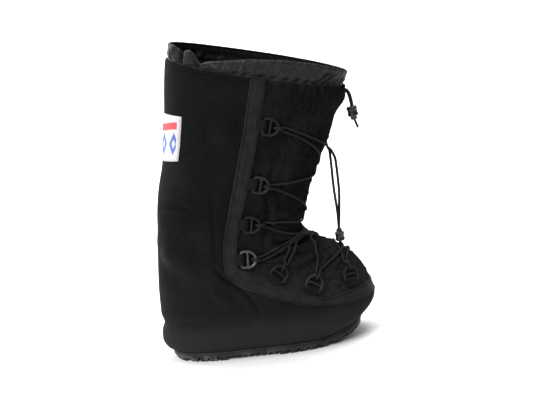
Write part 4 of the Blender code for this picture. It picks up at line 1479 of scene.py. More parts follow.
@dataclass
class Collar(Part):
    """Thin snow cuff: tucked inside the shaft, gathered by its drawcord and bunched at the outer back."""

    wall: float = 1.1
    tuck: float = 9.0
    lean: float = math.radians(16.0)
    columns: int = 600
    rows: int = 40
    casing: float = 0.9
    casing_place: float = 0.86
    casing_width: float = 0.10
    ruffle: float = 0.35
    ruffle_waves: tuple[float, ...] = (7.5, 11.0, 17.0, 5.3)
    ruffle_rise: float = 0.2
    bulge_rise: float = 0.9
    brow_drop: float = 1.0
    brow_fade: float = 0.7
    crease_ends: Pair = (0.10, 0.30)
    inset_shares: tuple[float, ...] = (0.0, 0.10, 0.34, 1.0)
    insets: tuple[float, ...] = (2.95, 2.95, 0.7, 1.2)

    def build(self) -> Piece:
        """Rows from the tucked edge to the rim, moved out by creases, ruffles and the drawcord's casing.

        The rim's rise and bulge come from its table. A crease is a bell in angle about a slanted line.

        Returns:
            The collar.
        """
        form = self.form
        angles = np.linspace(-180.0, 180.0, self.columns, endpoint=False)
        rim = table(COLLAR_RIM)
        rise = monotone(rim[:, 0], rim[:, 1], angles)
        bulge = monotone(rim[:, 0], rim[:, 2], angles)
        seam = form.seam_height(angles)
        top = form.surface(angles, seam)
        normals = form.outward(angles, seam)
        brow = form.creases(angles, seam - self.brow_drop)
        lean = np.array([math.sin(self.lean), 0.0, math.cos(self.lean)])
        length = run_length(np.concatenate([top, top[:1]]))[:-1]
        share = np.linspace(0.0, 1.0, self.rows)[:, None]
        inset = np.interp(share, self.inset_shares, self.insets)
        ruffle = self.ruffle * waver(length + 6.0 * share, self.ruffle_waves, 0.7)
        ruffle = ruffle * ease(share / self.ruffle_rise)
        cord = self.casing * np.exp(-((share - self.casing_place) / self.casing_width) ** 2)
        out = self.creases(angles[None], share) + ruffle + cord - inset
        out = out + bulge * ease(share / self.bulge_rise) + brow * (1.0 - ease(share / self.brow_fade))
        rows = top + (share * rise)[..., None] * lean + out[..., None] * normals
        tucked = seam - self.tuck
        start = form.surface(angles, tucked) - self.insets[0] * form.outward(angles, tucked)
        grid = np.concatenate([start[None], 0.5 * (start + rows[0])[None], rows])
        faces = Faces()
        places = cloth_places(grid, self.columns // 2, True)
        faces.sheet(grid, grid - self.wall * normals[None], places, True)
        # The inner skin wears the darker collar copy: painted shade.
        made = faces.piece("snow_collar", self.finishes.collar, ["collar"], "collar_nylon",
                           lining=self.finishes.collar_inside)
        return made

    def creases(self, angles: Array, share: Array) -> Array:
        """Sum of all creases over the collar's grid of angles and shares of its rise.

        Args:
            angles: angles in degrees.
            share: shares of the rise.

        Returns:
            Distances outward.
        """
        total = np.zeros(np.broadcast(angles, share).shape)
        for crease in COLLAR_CREASES:
            turn = (angles - crease.angle - crease.slant * share + 180.0) % 360.0 - 180.0
            start, end = self.crease_ends
            reach = ease((share - crease.low) / start) * ease((crease.high - share) / end)
            total += crease.depth * np.exp(-(turn / crease.width) ** 2) * reach
        return total


@dataclass
class Stitching:
    """Rows of thread stitches that lie on the cloth: length, pitch and thickness of a stitch."""

    form: BootForm
    length: float = 2.5
    pitch: float = 3.4
    thread: float = 0.75
    sides: int = 6
    near: float = 0.3
    stations: tuple[float, ...] = (-0.5, -0.3, 0.3, 0.5)
    girths: tuple[float, ...] = (0.45, 1.0, 1.0, 0.45)

    def sew(self, faces: Faces, angle: Array, height: Array, lift: float) -> None:
        """Adds a row of stitches a set distance above the folded skin."""
        self.lay(faces, self.form.skin(angle, height, lift), self.form.outward(angle, height))

    def lay(self, faces: Faces, line: Array, normals: Array) -> None:
        """Adds a row of stitches: each a six-sided bar with tapered ends, half sunk in the cloth.

        Args:
            faces: mesh that takes the stitches.
            line: points of the sewn line.
            normals: outward direction at each point.
        """
        along = run_length(line)
        count = int(along[-1] / self.pitch)
        at = (np.arange(count) + 0.5) * along[-1] / count
        out = unit(read_line(at, along, normals))
        way = unit(read_line(at + self.near, along, line) - read_line(at - self.near, along, line))
        axes = np.stack([way, np.cross(out, way), out], 1)
        turn = np.arange(self.sides) * 2.0 * math.pi / self.sides
        ring = 0.5 * self.thread * np.stack([np.cos(turn), np.sin(turn)], 1)
        rings = (np.array(self.girths)[:, None, None] * ring).reshape(-1, 2)
        shape = np.column_stack([self.length * np.repeat(self.stations, self.sides), rings])
        quads = body_quads(len(self.stations), self.sides)
        points = read_line(at, along, line)[:, None] + np.einsum("pk,nkx->npx", shape, axes)
        every = quads + len(shape) * np.arange(count)[:, None, None]
        places = shape[quads][..., [1, 0]]
        faces.add(points, every.reshape(-1, 4), np.tile(places, (count, 1, 1)))


@dataclass
class Tape(Part):
    """Webbing over the joint of upper and gusset, one length from seam to seam round the toe."""

    thickness: float = 1.7
    stand: float = 0.35
    sunk: float = 0.4
    edge_power: int = 14
    swell: float = 0.45
    swell_place: float = 0.88
    swell_width: float = 0.09
    step: float = 3.0
    across: int = 25
    stitch_share: float = 0.13
    stitch_stand: float = 0.4
    mitres: Pair = (6.5, 10.5)

    def rows_along(self) -> Array:
        """Row numbers, with shares, of even steps along half the tape and of all rows.

        Returns:
            Rising row numbers.
        """
        middle = self.form.tape_middle()
        count = np.arange(len(TAPE_ROWS))
        length = run_length(self.form.surface(middle[:, 0], middle[:, 1]))
        return np.union1d(np.interp(np.arange(0.0, length[-1], self.step), length, count), count)

    def stations(self) -> Array:
        """Edge angles and heights at even steps: down the outer side, round the toe, up the inner side.

        Returns:
            Inner angle, inner height, outer angle and outer height.
        """
        count = np.arange(len(TAPE_ROWS))
        row = self.rows_along()
        side = self.form.edge_angles(read_line(row, count, table(TAPE_ROWS)))
        toe = read_line(row, count, self.form.tape_edges())
        half = np.where((row <= len(TAPE_ROWS) - 2)[:, None], side, toe)
        return np.concatenate([half, half[-2::-1] * np.array([-1.0, 1.0, -1.0, 1.0])])

    def build(self) -> list[Piece]:
        """Flat band with rounded edges on the folded skin, and two rows of stitches along it.

        Returns:
            The tape and its stitches.
        """
        stations = self.stations()
        share = np.linspace(0.0, 1.0, self.across)
        angles, heights = self.between(stations, share)
        off = np.abs(2.0 * share - 1.0)
        swell = self.swell * np.exp(-((off - self.swell_place) / self.swell_width) ** 2)
        crown = self.thickness * (1.0 - off ** self.edge_power) + self.stand + swell
        over = self.form.skin(angles, heights, crown)
        long = run_length(over[:, self.across // 2])
        places = np.stack([run_length(over, 1), np.broadcast_to(long[:, None], angles.shape)], -1)
        faces = Faces()
        faces.sheet(over, self.form.skin(angles, heights, -self.sunk), places)
        folds = np.interp(self.mitres, self.rows_along(), long[:len(long) // 2 + 1])
        # The tape's webbing paints shade in its grooves and along each mitre fold, and highlight on its ribs and
        # edges.
        finish = WebbingFinish("webbing", grey(0.0155, 0.0157), grey(0.0044, 0.0045), width=24.0,
                               mitres=(*folds, *(long[-1] - folds))).make()
        band = faces.piece("webbing_tape", finish, ["tape"], "webbing")
        thread = Faces()
        for part in (self.stitch_share, 1.0 - self.stitch_share):
            angle, height = self.between(stations, np.array([part]))
            Stitching(self.form).sew(thread, angle[:, 0], height[:, 0], self.thickness + self.stitch_stand)
        return [band, thread.piece("tape_stitches", self.finishes.thread, slot="webbing")]

    @staticmethod
    def between(stations: Array, share: Array) -> tuple[Array, Array]:
        """Grids of angles and heights at shares of the way across the tape."""
        angle_in, height_in, angle_out, height_out = stations.T[..., None]
        return (angle_in * (1.0 - share) + angle_out * share, height_in * (1.0 - share) + height_out * share)


@dataclass
class TopHem(Part):
    """Row of stitches below the seam of shaft and collar."""

    below: float = 6.0
    margin: float = 1.0
    stand: float = 0.15
    points: int = 160

    def build(self) -> Piece:
        """Stitches at a set depth below the seam, all the way round except under the tape.

        Returns:
            The stitches.
        """
        thread = Faces()
        inner, _, outer, _ = self.form.tape_edges()[0]
        back = (outer + self.margin, 360.0 - self.margin - outer)
        for first, last in (back, (self.margin - inner, inner - self.margin)):
            angles = np.linspace(first, last, self.points)
            heights = self.form.seam_height(angles) - self.below
            Stitching(self.form).sew(thread, angles, heights, self.stand)
        return thread.piece("hem_stitches", self.finishes.thread, slot="nylon")


@dataclass
class Label(Part):
    """Woven patch sewn round the back of the shaft."""

    angles: Pair = (138.0, 222.0)
    heights: Pair = (276.6, 338.6)
    stand: float = 0.6
    thickness: float = 0.8
    sunk: float = 0.05
    edge_power: int = 24
    taper: float = 0.09
    drop: float = 1.4
    cells: tuple[int, int] = (30, 44)
    border: Pair = (1.6, 2.0)
    border_points: int = 40

    def drawn(self, share: Array, height: Array) -> Array:
        """Heights drawn together to both sides by the sewing, with the square of the way from the middle."""
        middle = 0.5 * (self.heights[0] + self.heights[1])
        return middle + (height - middle) * (1.0 - self.taper * share ** 2) - self.drop * share ** 2

    def build(self) -> list[Piece]:
        """Patch on the folded skin with a rounded edge and a sewn border.

        Returns:
            The patch and its stitches.
        """
        rows, columns = self.cells
        angle, height = np.meshgrid(np.linspace(*self.angles, columns), np.linspace(*self.heights, rows))
        s, t = np.meshgrid(np.linspace(-1.0, 1.0, columns), np.linspace(-1.0, 1.0, rows))
        height = self.drawn(s, height)
        edge = np.maximum(np.abs(s), np.abs(t)) ** self.edge_power
        over = self.form.skin(angle, height, self.stand + self.thickness * (1.0 - edge))
        places = np.stack([run_length(over, 1), run_length(over, 0)], -1)
        width, tall = places[-1, -1]
        finish = PatchFinish("woven_patch", ground=(0.52, 0.50, 0.51), soiled=(0.50, 0.47, 0.48),
                             red=(0.50, 0.045, 0.060), blue=(0.055, 0.120, 0.380), width=width,
                             height=tall).make()
        faces = Faces()
        faces.sheet(over, self.form.skin(angle, height, self.sunk), places)
        patch = faces.piece("back_patch", finish, ["label"], "patch")
        return [patch, self.sewn_border().piece("patch_stitches", finish, slot="patch")]

    def sewn_border(self) -> Faces:
        """Stitches along the four sides of the patch.

        Returns:
            Mesh of the stitches.
        """
        thread = Faces()
        left, right = self.angles[0] + self.border[0], self.angles[1] - self.border[0]
        low, high = self.heights[0] + self.border[1], self.heights[1] - self.border[1]
        corners = [(left, low), (right, low), (right, high), (left, high)]
        sewing = Stitching(self.form, length=1.9, pitch=2.6, thread=0.6)
        for a, b in zip(corners, corners[1:] + corners[:1]):
            turn = np.linspace(a[0], b[0], self.border_points)
            level = np.linspace(a[1], b[1], self.border_points)
            share = (turn - 180.0) / (self.angles[1] - 180.0)
            sewing.sew(thread, turn, self.drawn(share, level), self.stand + self.thickness)
        return thread


@dataclass(frozen=True)
class RingRow:
    """Lace ring on the outer side: angle and height of its middle, and the way its round side points."""

    angle: float
    height: float
    turn: float


RING_ROWS = tuple(RingRow(*row) for row in (
    (77.7, 308.6, -19),
    (73.3, 235.3, -17),
    (73.7, 184.4, -12),
    (78.6, 138.6, -6),
    (72.2, 113.8, 44),
    (60.4, 92.6, 58),
    (32.8, 91, 80),
))


class Seat:
    """Local frame of a lace ring: its place on the skin and the ways along, across and out."""

    def __init__(self, form: BootForm, row: RingRow, side: Side) -> None:
        """Works out the frame.

        Args:
            form: the boot's skin.
            row: the ring's place on the outer side.
            side: side that the ring is on.
        """
        self.angle = row.angle * side.value
        self.height = row.height
        self.point = form.surface(self.angle, self.height)
        self.normal = form.outward(self.angle, self.height)
        self.around, self.upward = form.tangents(self.angle, self.height)
        forward = unit(self.around) * -side.value
        rising = unit(self.upward - forward * (self.upward @ forward))
        turn = math.radians(row.turn)
        self.along = math.cos(turn) * forward + math.sin(turn) * rising
        self.across = np.cross(self.normal, self.along) * side.value

    def flat(self, local: Array) -> Array:
        """Points from (along, across, out) rows in the ring's own plane."""
        return self.point + np.asarray(local, float) @ np.stack([self.along, self.across, self.normal])

    def spot(self, along: Amount, across: Amount) -> tuple[Array, Array]:
        """Angles and heights on the skin reached by small steps from the ring's middle.

        Args:
            along: steps along.
            across: steps across.

        Returns:
            Angles and heights.
        """
        step = np.multiply.outer(along, self.along) + np.multiply.outer(across, self.across)
        change = step @ np.linalg.pinv(np.stack([self.around, self.upward], 1)).T
        return self.angle + change[..., 0], self.height + change[..., 1]


Seats = dict[tuple[int, Side], Seat]


@dataclass
class Rings(Part):
    """D rings with their webbing tabs."""

    width: float = 24.0
    back: float = 10.0
    bar: float = 3.4
    thickness: float = 2.9
    corner: float = 3.2
    boxiness: float = 2.6
    stand: float = 4.0
    tilt: float = 0.7
    sides: int = 12
    arc_points: int = 25
    corner_points: int = 6
    cross_bar: Pair = (3.0, 2.4)
    cross_sides: int = 10
    cross_step: float = 2.0
    tab_width: float = 15.0
    tab_thickness: float = 1.1
    tab_points: int = 9
    tab_step: float = 0.9
    bend_start: float = 9.0
    bend_length: float = 8.0
    tack_places: Pair = (-15.6, -13.4)
    tack_points: int = 24
    tack_share: float = 0.46
    # Rings whose colour is painted lighter, as a highlight.
    rubbed: dict[str, RingHighlight] = field(default_factory=lambda: {
        "outer_2": RingHighlight.SOME, "outer_4": RingHighlight.MUCH, "outer_6": RingHighlight.SOME,
        "inner_3": RingHighlight.SOME, "inner_5": RingHighlight.SOME})
    tab_route: tuple[Pair, ...] = (
        (-17.0, 1.2), (-13.5, 2.6), (-11.4, 5.2), (-9.2, 6.6), (-6.8, 6.4), (-5.2, 4.8), (-5.0, 3.0),
        (-6.6, 1.6), (-9.5, 1.15), (-13.0, 1.0), (-17.0, 0.9))

    def seats(self) -> Seats:
        """Frames of all rings by number and side."""
        return {(n, side): Seat(self.form, row, side) for n, row in enumerate(RING_ROWS, 1) for side in Side}

    def build(self, seats: Seats) -> list[Piece]:
        """One ring and one tab for each seat, and the tacks of all tabs.

        Args:
            seats: frames of all rings.

        Returns:
            All rings and tabs, and the tacks.
        """
        made = []
        for (number, side), seat in seats.items():
            word = "%s_%d" % (side.name.lower(), number)
            finish = self.finishes.rings[self.rubbed.get(word, RingHighlight.LITTLE)]
            made.append(self.ring("lace_ring_" + word, seat, "d_ring_" + word, finish))
            made.append(self.tab("ring_loop_" + word, seat, "ring_tab_" + word))
        return made + [self.tacks(seats)]

    def tacks(self, seats: Seats) -> Piece:
        """Bar tacks: two rows of close stitches across each tab behind its ring.

        Args:
            seats: frames of all rings.

        Returns:
            The tacks.
        """
        thread = Faces()
        sewing = Stitching(self.form, length=1.5, pitch=1.7, thread=0.7)
        across = np.linspace(-self.tack_share, self.tack_share, self.tack_points) * self.tab_width
        for seat in seats.values():
            for place in self.tack_places:
                rise = np.interp(place, *zip(*self.tab_route[:4])) + 0.5 * self.tab_thickness
                local = np.stack(np.broadcast_arrays(place, across, rise), 1)
                sewing.lay(thread, self.settle(seat, local), np.broadcast_to(seat.normal, local.shape))
        return thread.piece("tab_tacks", self.finishes.tack, slot="webbing")

    def ring(self, name: str, seat: Seat, node: str, finish: Material) -> Piece:
        """D ring: a boxy round bar carried round a D, with a straight bar across it.

        The round side is half a circle. The other side runs straight back to two small corner arcs.

        Args:
            name: piece name.
            seat: the ring's frame.
            node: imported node.
            finish: its material.

        Returns:
            The ring.
        """
        radius = 0.5 * (self.width - self.bar)
        back = self.corner + 0.5 * self.bar - self.back
        arc = np.linspace(-math.pi / 2.0, math.pi / 2.0, self.arc_points)
        bend = np.linspace(math.pi / 2.0, math.pi, self.corner_points)
        right = np.stack([back + self.corner * np.cos(bend),
                          radius - self.corner + self.corner * np.sin(bend)], 1)
        line = np.concatenate([radius * np.stack([np.cos(arc), np.sin(arc)], 1), right,
                               right[::-1] * np.array([1.0, -1.0])])
        ahead = unit(np.roll(line, -1, 0) - np.roll(line, 1, 0))
        side = np.stack([ahead[:, 1], -ahead[:, 0]], 1) @ np.stack([seat.along, seat.across])
        path = seat.flat(np.column_stack([line, self.stand + self.tilt * line[:, 0] / radius]))
        faces = Faces()
        faces.loop(path, side, seat.normal, rounded(self.bar, self.thickness, self.sides, self.boxiness))
        ends = np.array([[0.0, -radius, self.stand], [0.0, 0.0, self.stand], [0.0, radius, self.stand]])
        faces.tube(flowing(seat.flat(ends), self.cross_step), seat.along, seat.normal,
                   rounded(*self.cross_bar, self.cross_sides, self.boxiness))
        return faces.piece(name, finish, [node], "ring_plastic")

    def tab(self, name: str, seat: Seat, node: str) -> Piece:
        """Webbing loop: a strip carried over the ring's straight bar and back under it.

        Args:
            name: piece name.
            seat: the ring's frame.
            node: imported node.

        Returns:
            The tab.
        """
        route = np.array(self.tab_route)
        line = flowing(np.insert(route, 1, 0.0, axis=1), self.tab_step)
        across = np.array([0.0, 1.0, 0.0])
        out = np.cross(unit(np.gradient(line, axis=0)), across)
        share = np.linspace(-1.0, 1.0, self.tab_points)
        place = 0.5 * self.tab_width * share
        half = 0.5 * self.tab_thickness * (1.0 - 0.7 * np.abs(share) ** 8)
        grid = line[:, None] + place[:, None] * across
        puff = half[:, None] * out[:, None]
        long = run_length(self.settle(seat, grid)[:, self.tab_points // 2])
        places = np.stack(np.meshgrid(place + 0.5 * self.tab_width, long), -1)
        faces = Faces()
        faces.sheet(self.settle(seat, grid + puff), self.settle(seat, grid - puff), places)
        return faces.piece(name, self.finishes.tab, [node], "webbing")

    def settle(self, seat: Seat, local: Array) -> Array:
        """Points of a tab in the ring's frame, bent down to the skin behind the ring.

        Args:
            seat: the ring's frame.
            local: (along, across, out) places.

        Returns:
            Points.
        """
        points = seat.flat(local)
        behind = ease((-local[..., :1] - self.bend_start) / self.bend_length)
        lying = self.form.skin(*seat.spot(local[..., 0], local[..., 1]), local[..., 2])
        return points + behind * (lying - points)


@dataclass(frozen=True)
class Strand:
    """Lace between two rings: their numbers, height at the front ridge, and rise halfway to each ring."""

    outer_ring: int
    inner_ring: int
    ridge: float
    outer_bow: float = 0.0
    inner_bow: float = 0.0


# Strands in the order that the lace runs, from the outer top ring to the inner one
LACE_RUN = tuple(Strand(*row) for row in (
    (1, 2, 239, 0, -1), (3, 2, 168, -1, 0), (3, 4, 140.5, -1, 3),
    (5, 4, 150, 11, 3), (5, 6, 146.8, 11, 12), (7, 6, 131, 5, 6),
    (7, 7, 116, 4, 4), (6, 7, 123.5, 4, 7), (6, 5, 143.6, 13, 11),
    (4, 5, 153.2, 3, 11), (4, 3, 156.6, 2, -1), (2, 3, 179, 0, -1),
    (2, 1, 229, -1, 0),
))


def running_mean(values: Array, reach: int, **ends: str) -> Array:
    """Mean of each value and its neighbours on both sides, with the ends padded first.

    Args:
        values: row of values.
        reach: neighbours on each side.
        ends: how the ends are padded.

    Returns:
        The means.
    """
    size = 2 * reach + 1
    return np.convolve(np.pad(values, reach, **ends), np.full(size, 1 / size), "valid")


def cord_frame(path: Array, guide: Array) -> tuple[Array, Array]:
    """Sideways and outward directions along a path, square to it and close to a guide direction.

    Args:
        path: points of the middle line.
        guide: outward direction to keep close to.

    Returns:
        The two directions at each point.
    """
    way = unit(np.gradient(path, axis=0))
    across = unit(np.cross(way, guide))
    return across, np.cross(across, way)


@dataclass
class Lace(Part):
    """Round cord that runs through every ring, and its two hanging ends with their lock."""

    diameter: float = 3.2
    stand: float = 1.6
    sides: int = 10
    step: float = 1.5
    spread: float = 2.6
    top_ridge: float = 262.0
    top_bow: float = -4.0
    squeeze: float = 1.5
    crossing_reach: float = 6.0
    even_reach: int = 3
    fold_reach: int = 4
    ring_reach: float = 19.0
    lead_start: Pair = (9.0, 4.0)
    hanging: float = 3.7
    knots: int = 21
    guide_heights: tuple[float, ...] = (0.0, 110.0, 161.0, 300.0)
    guide_places: tuple[float, ...] = (40.0, 20.0, -30.0, 20.0)
    guide_drop: float = 12.0
    turn: tuple[Triple, ...] = (
        (15.5, 1.9, 5.6), (12.4, 1.6, 7.3), (9.6, 1.2, 7.6), (6.6, 0.5, 6.2), (5.9, 0.0, 4.2),
        (7.0, -0.5, 2.5), (9.6, -1.2, 1.9), (12.6, -1.7, 1.8), (15.5, -2.1, 1.9))
    ends: dict[str, tuple[Triple, ...]] = field(default_factory=lambda: {
        "lace_end_near": ((239.35, -2.0, 259.35), (240.9, -2.0, 256.6), (240.4, -2.2, 235.0),
                          (239.4, -2.3, 205.0), (239.8, -2.3, 175.0), (238.6, -2.3, 148.9)),
        "lace_end_far": ((239.35, 2.0, 259.35), (242.2, 2.0, 256.2), (247.0, 2.2, 240.0),
                         (246.2, 2.4, 205.0), (242.4, 2.3, 172.0), (238.9, 2.0, 148.9)),
    })

    def build(self, seats: Seats, lock: Piece) -> list[Piece]:
        """The laced run as one tube, and each hanging end as a cord of its own that runs into the lock.

        Args:
            seats: frames of all rings.
            lock: not used.

        Returns:
            The laced run and both ends.
        """
        path = flowing(self.route(seats), self.step)
        centre = np.stack([np.interp(path[:, 2], self.guide_heights, self.guide_places),
                           np.zeros(len(path)), path[:, 2] - self.guide_drop], 1)
        across, out = cord_frame(path, unit(path - centre))
        faces = Faces()
        faces.tube(path, across, out, rounded(self.diameter, self.diameter, self.sides))
        nodes = ["lace_cross_%d" % n for n in range(1, 7)] + ["lace_toe_bar", "lace_top_bar"]
        made = [faces.piece("boot_lace", self.finishes.cord, nodes, "cord")]
        LOG.info("lace length %.0f mm", run_length(path)[-1])
        for node, route in self.ends.items():
            made.append(hanging_cord(node.replace("lace_end", "hanging_lace"), route, self.hanging,
                                     self.finishes.cord, [node]))
        return made

    def through(self, seat: Seat, over: float) -> Array:
        """Way through a ring: over its round bar, down into the window and out below the bar.

        Args:
            seat: the ring's frame.
            over: side of the ring, 1 or -1, on which the arriving strand lies.

        Returns:
            Points of the cord's middle line.
        """
        return seat.flat(np.array(self.turn) * np.array([1.0, over, 1.0]))

    def strand(self, first: Pair, strand: Strand, last: Pair, onto_inner: bool) -> tuple[Array, Array]:
        """Line over the gusset from one ring by way of the front ridge to another.

        Angle and height change evenly on each half, with the bow's rise halfway.

        Args:
            first: angle and height at the first ring.
            strand: the strand.
            last: angle and height at the last ring.
            onto_inner: whether it runs from the outer to the inner side.

        Returns:
            Points and outward directions.
        """
        share = np.linspace(0.0, 1.0, self.knots)[:, None]
        ridge = np.array([0.0, strand.ridge])
        bows = (strand.outer_bow, strand.inner_bow)[::1 if onto_inner else -1]
        rise = share * (1.0 - share) * np.array([[0.0, 4.0]])
        there = np.array(first) * (1.0 - share) + ridge * share + rise * bows[0]
        back = ridge * (1.0 - share) + np.array(last) * share + rise * bows[1]
        return self.on_skin(np.concatenate([there, back[1:]]))

    def on_skin(self, knots: Array) -> tuple[Array, Array]:
        """Points and outward directions of a taut line: it follows smoothed folds and never sinks in.

        Args:
            knots: (angle, height) rows.

        Returns:
            Points and directions.
        """
        angles, heights = knots.T
        heights = running_mean(heights, self.even_reach, mode="reflect", reflect_type="odd")
        folds = self.form.creases(angles, heights)
        smooth = running_mean(folds, self.fold_reach, mode="edge")
        out = self.form.outward(angles, heights)
        lift = np.maximum(smooth, folds) + self.stand
        return self.form.surface(angles, heights) + out * lift[:, None], out

    def route(self, seats: Seats) -> Array:
        """Middle line of the whole lace, from one hanging end through all rings to the other.

        Args:
            seats: frames of all rings.

        Returns:
            Points of the middle line.
        """
        rings = [(1, Side.OUTER)]
        for strand in LACE_RUN:
            onto_inner = rings[-1][1] is Side.OUTER
            rings.append((strand.inner_ring, Side.INNER) if onto_inner else (strand.outer_ring, Side.OUTER))
        heights = [self.top_ridge] + [strand.ridge for strand in LACE_RUN] + [self.top_ridge]
        sides = [1.0 if came >= goes else -1.0 for came, goes in zip(heights, heights[1:])]
        turns = [self.through(seats[ring], side) for ring, side in zip(rings, sides)]
        comes, leaves = ([seats[ring].spot(self.ring_reach, way * side * self.spread)
                          for ring, side in zip(rings, sides)] for way in (1.0, -1.0))
        runs = [self.strand(leaves[n], strand, comes[n + 1], rings[n][1] is Side.OUTER)
                for n, strand in enumerate(LACE_RUN)]
        self.part_crossings(runs)
        near, far = (np.array(route[0]) - HEEL_LINE for route in self.ends.values())
        pieces = [self.lead(near, comes[0], 1.0), turns[0]]
        for (run, _), turn in zip(runs, turns[1:]):
            pieces += [run, turn]
        return np.concatenate(pieces + [self.lead(far, leaves[-1], -1.0)[::-1]])

    def lead(self, end: Array, last: Pair, side: float) -> Array:
        """Line from a hanging end over the gusset to the top ring, bowed like a strand.

        Args:
            end: where the hanging end leaves.
            last: angle and height at the ring.
            side: 1 outer, -1 inner.

        Returns:
            Points of the middle line.
        """
        share = np.linspace(0.0, 1.0, self.knots)[:, None]
        start = np.array([side * self.lead_start[0], self.top_ridge + self.lead_start[1]])
        knots = start * (1.0 - share) + np.array(last) * share
        knots = knots + share * (1.0 - share) * np.array([[0.0, 4.0 * self.top_bow]])
        return np.concatenate([end[None], self.on_skin(knots)[0]])

    def part_crossings(self, runs: list[tuple[Array, Array]]) -> None:
        """Lifts the later of two crossing strands, in a bell, by what it lacks to clear the earlier.

        Args:
            runs: points and directions of the strands, changed in place.
        """
        for n, (run, out) in enumerate(runs):
            lift = np.zeros(len(run))
            for other, _ in runs[:n]:
                gap = np.linalg.norm(run[:, None] - flowing(other, 1.0)[None], axis=-1).min(1)
                lack = self.diameter - self.squeeze - gap.min()
                away = np.linalg.norm(run - run[gap.argmin()], axis=1)
                lift = np.maximum(lift, max(lack, 0.0) * np.exp(-(away / self.crossing_reach) ** 2))
            run += lift[:, None] * out


CORD_POINTS = 90
CORD_STEP = 1.5
CORD_SIDES = 12


def hanging_cord(name: str, route: Sequence[Triple], diameter: float, finish: Material, nodes: Sequence[str]) -> Piece:
    """Free cord along a route given from the heel line.

    Args:
        name: piece name.
        route: points from where the cord leaves the boot to its end.
        diameter: cord diameter.
        finish: material.
        nodes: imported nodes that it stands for.

    Returns:
        The cord's object.
    """
    knots = np.array(route) - HEEL_LINE
    along = run_length(knots)
    fine = np.linspace(0.0, along[-1], CORD_POINTS)
    path = flowing(np.stack([monotone(along, column, fine) for column in knots.T], 1), CORD_STEP)
    across, out = cord_frame(path, np.array([0.0, 1.0, 0.0]))
    faces = Faces()
    faces.tube(path, across, out, rounded(diameter, diameter, CORD_SIDES))
    made = faces.piece(name, finish, nodes, "cord")
    return made


@dataclass
class Drawcord:
    """Doubled collar cord, which leaves the front of the seam and ends in a lock with one tail."""

    finishes: Finishes
    diameter: float = 3.2
    near: tuple[Triple, ...] = (
        (269.2, -1.9, 333.1), (272.4, -1.9, 331.4), (275.6, -1.9, 323.0), (277.0, -1.7, 309.0),
        (277.8, -0.4, 300.0), (278.8, 0.0, 291.9), (280.2, 0.0, 286.6), (281.8, 0.0, 280.5))
    far: tuple[Triple, ...] = (
        (269.2, 1.9, 333.1), (273.2, 1.9, 331.8), (277.4, 1.9, 323.6), (278.6, 1.9, 310.0),
        (278.4, 2.0, 302.0))

    def build(self, lock: Piece) -> list[Piece]:
        """The cord with the tail, and the cord that ends in the lock.

        Args:
            lock: not used.

        Returns:
            The two cords.
        """
        tail = hanging_cord("drawcord_tail", self.near, self.diameter, self.finishes.cord,
                            ["collar_cord_near", "collar_tail"])
        short = hanging_cord("drawcord_short", self.far, self.diameter, self.finishes.cord,
                             ["collar_cord_far"])
        return [tail, short]


@dataclass
class CordLock:
    """Turned cord lock: a barrel with two raised rims and a plunger."""

    finishes: Finishes
    name: str
    node: str
    middle: Triple
    axis: Triple
    length: float
    radius: float = 6.5
    sides: int = 32
    hard_edge: float = 48.0
    profile: tuple[Pair, ...] = (
        (0.30, 0.0), (0.70, 0.0), (0.84, 0.02), (0.94, 0.06), (1.0, 0.12), (1.0, 0.19), (0.93, 0.23),
        (0.91, 0.30), (0.91, 0.48), (0.93, 0.54), (1.0, 0.57), (1.0, 0.64), (0.95, 0.69), (0.84, 0.72),
        (0.66, 0.73), (0.61, 0.76), (0.61, 0.92), (0.58, 0.96), (0.50, 0.99), (0.30, 1.0))

    def build(self) -> Piece:
        """Profile of (radius share, height share) turned round the axis, closed by quads at both ends.

        Returns:
            The lock.
        """
        axis = unit(np.array(self.axis))
        aside = unit(np.cross(axis, (0.0, 1.0, 0.0)))
        third = np.cross(axis, aside)
        rows = np.array(self.profile)
        path = np.array(self.middle) - HEEL_LINE + axis * (rows[:, 1:] - 0.5) * self.length
        turn = np.arange(self.sides) * 2.0 * math.pi / self.sides
        circle = np.stack([np.cos(turn), np.sin(turn)], 1)
        profile = self.radius * rows[:, :1, None] * circle[None]
        faces = Faces()
        faces.tube(path, aside, third, profile)
        return faces.piece(self.name, self.finishes.lock, [self.node], "ring_plastic", self.hard_edge)


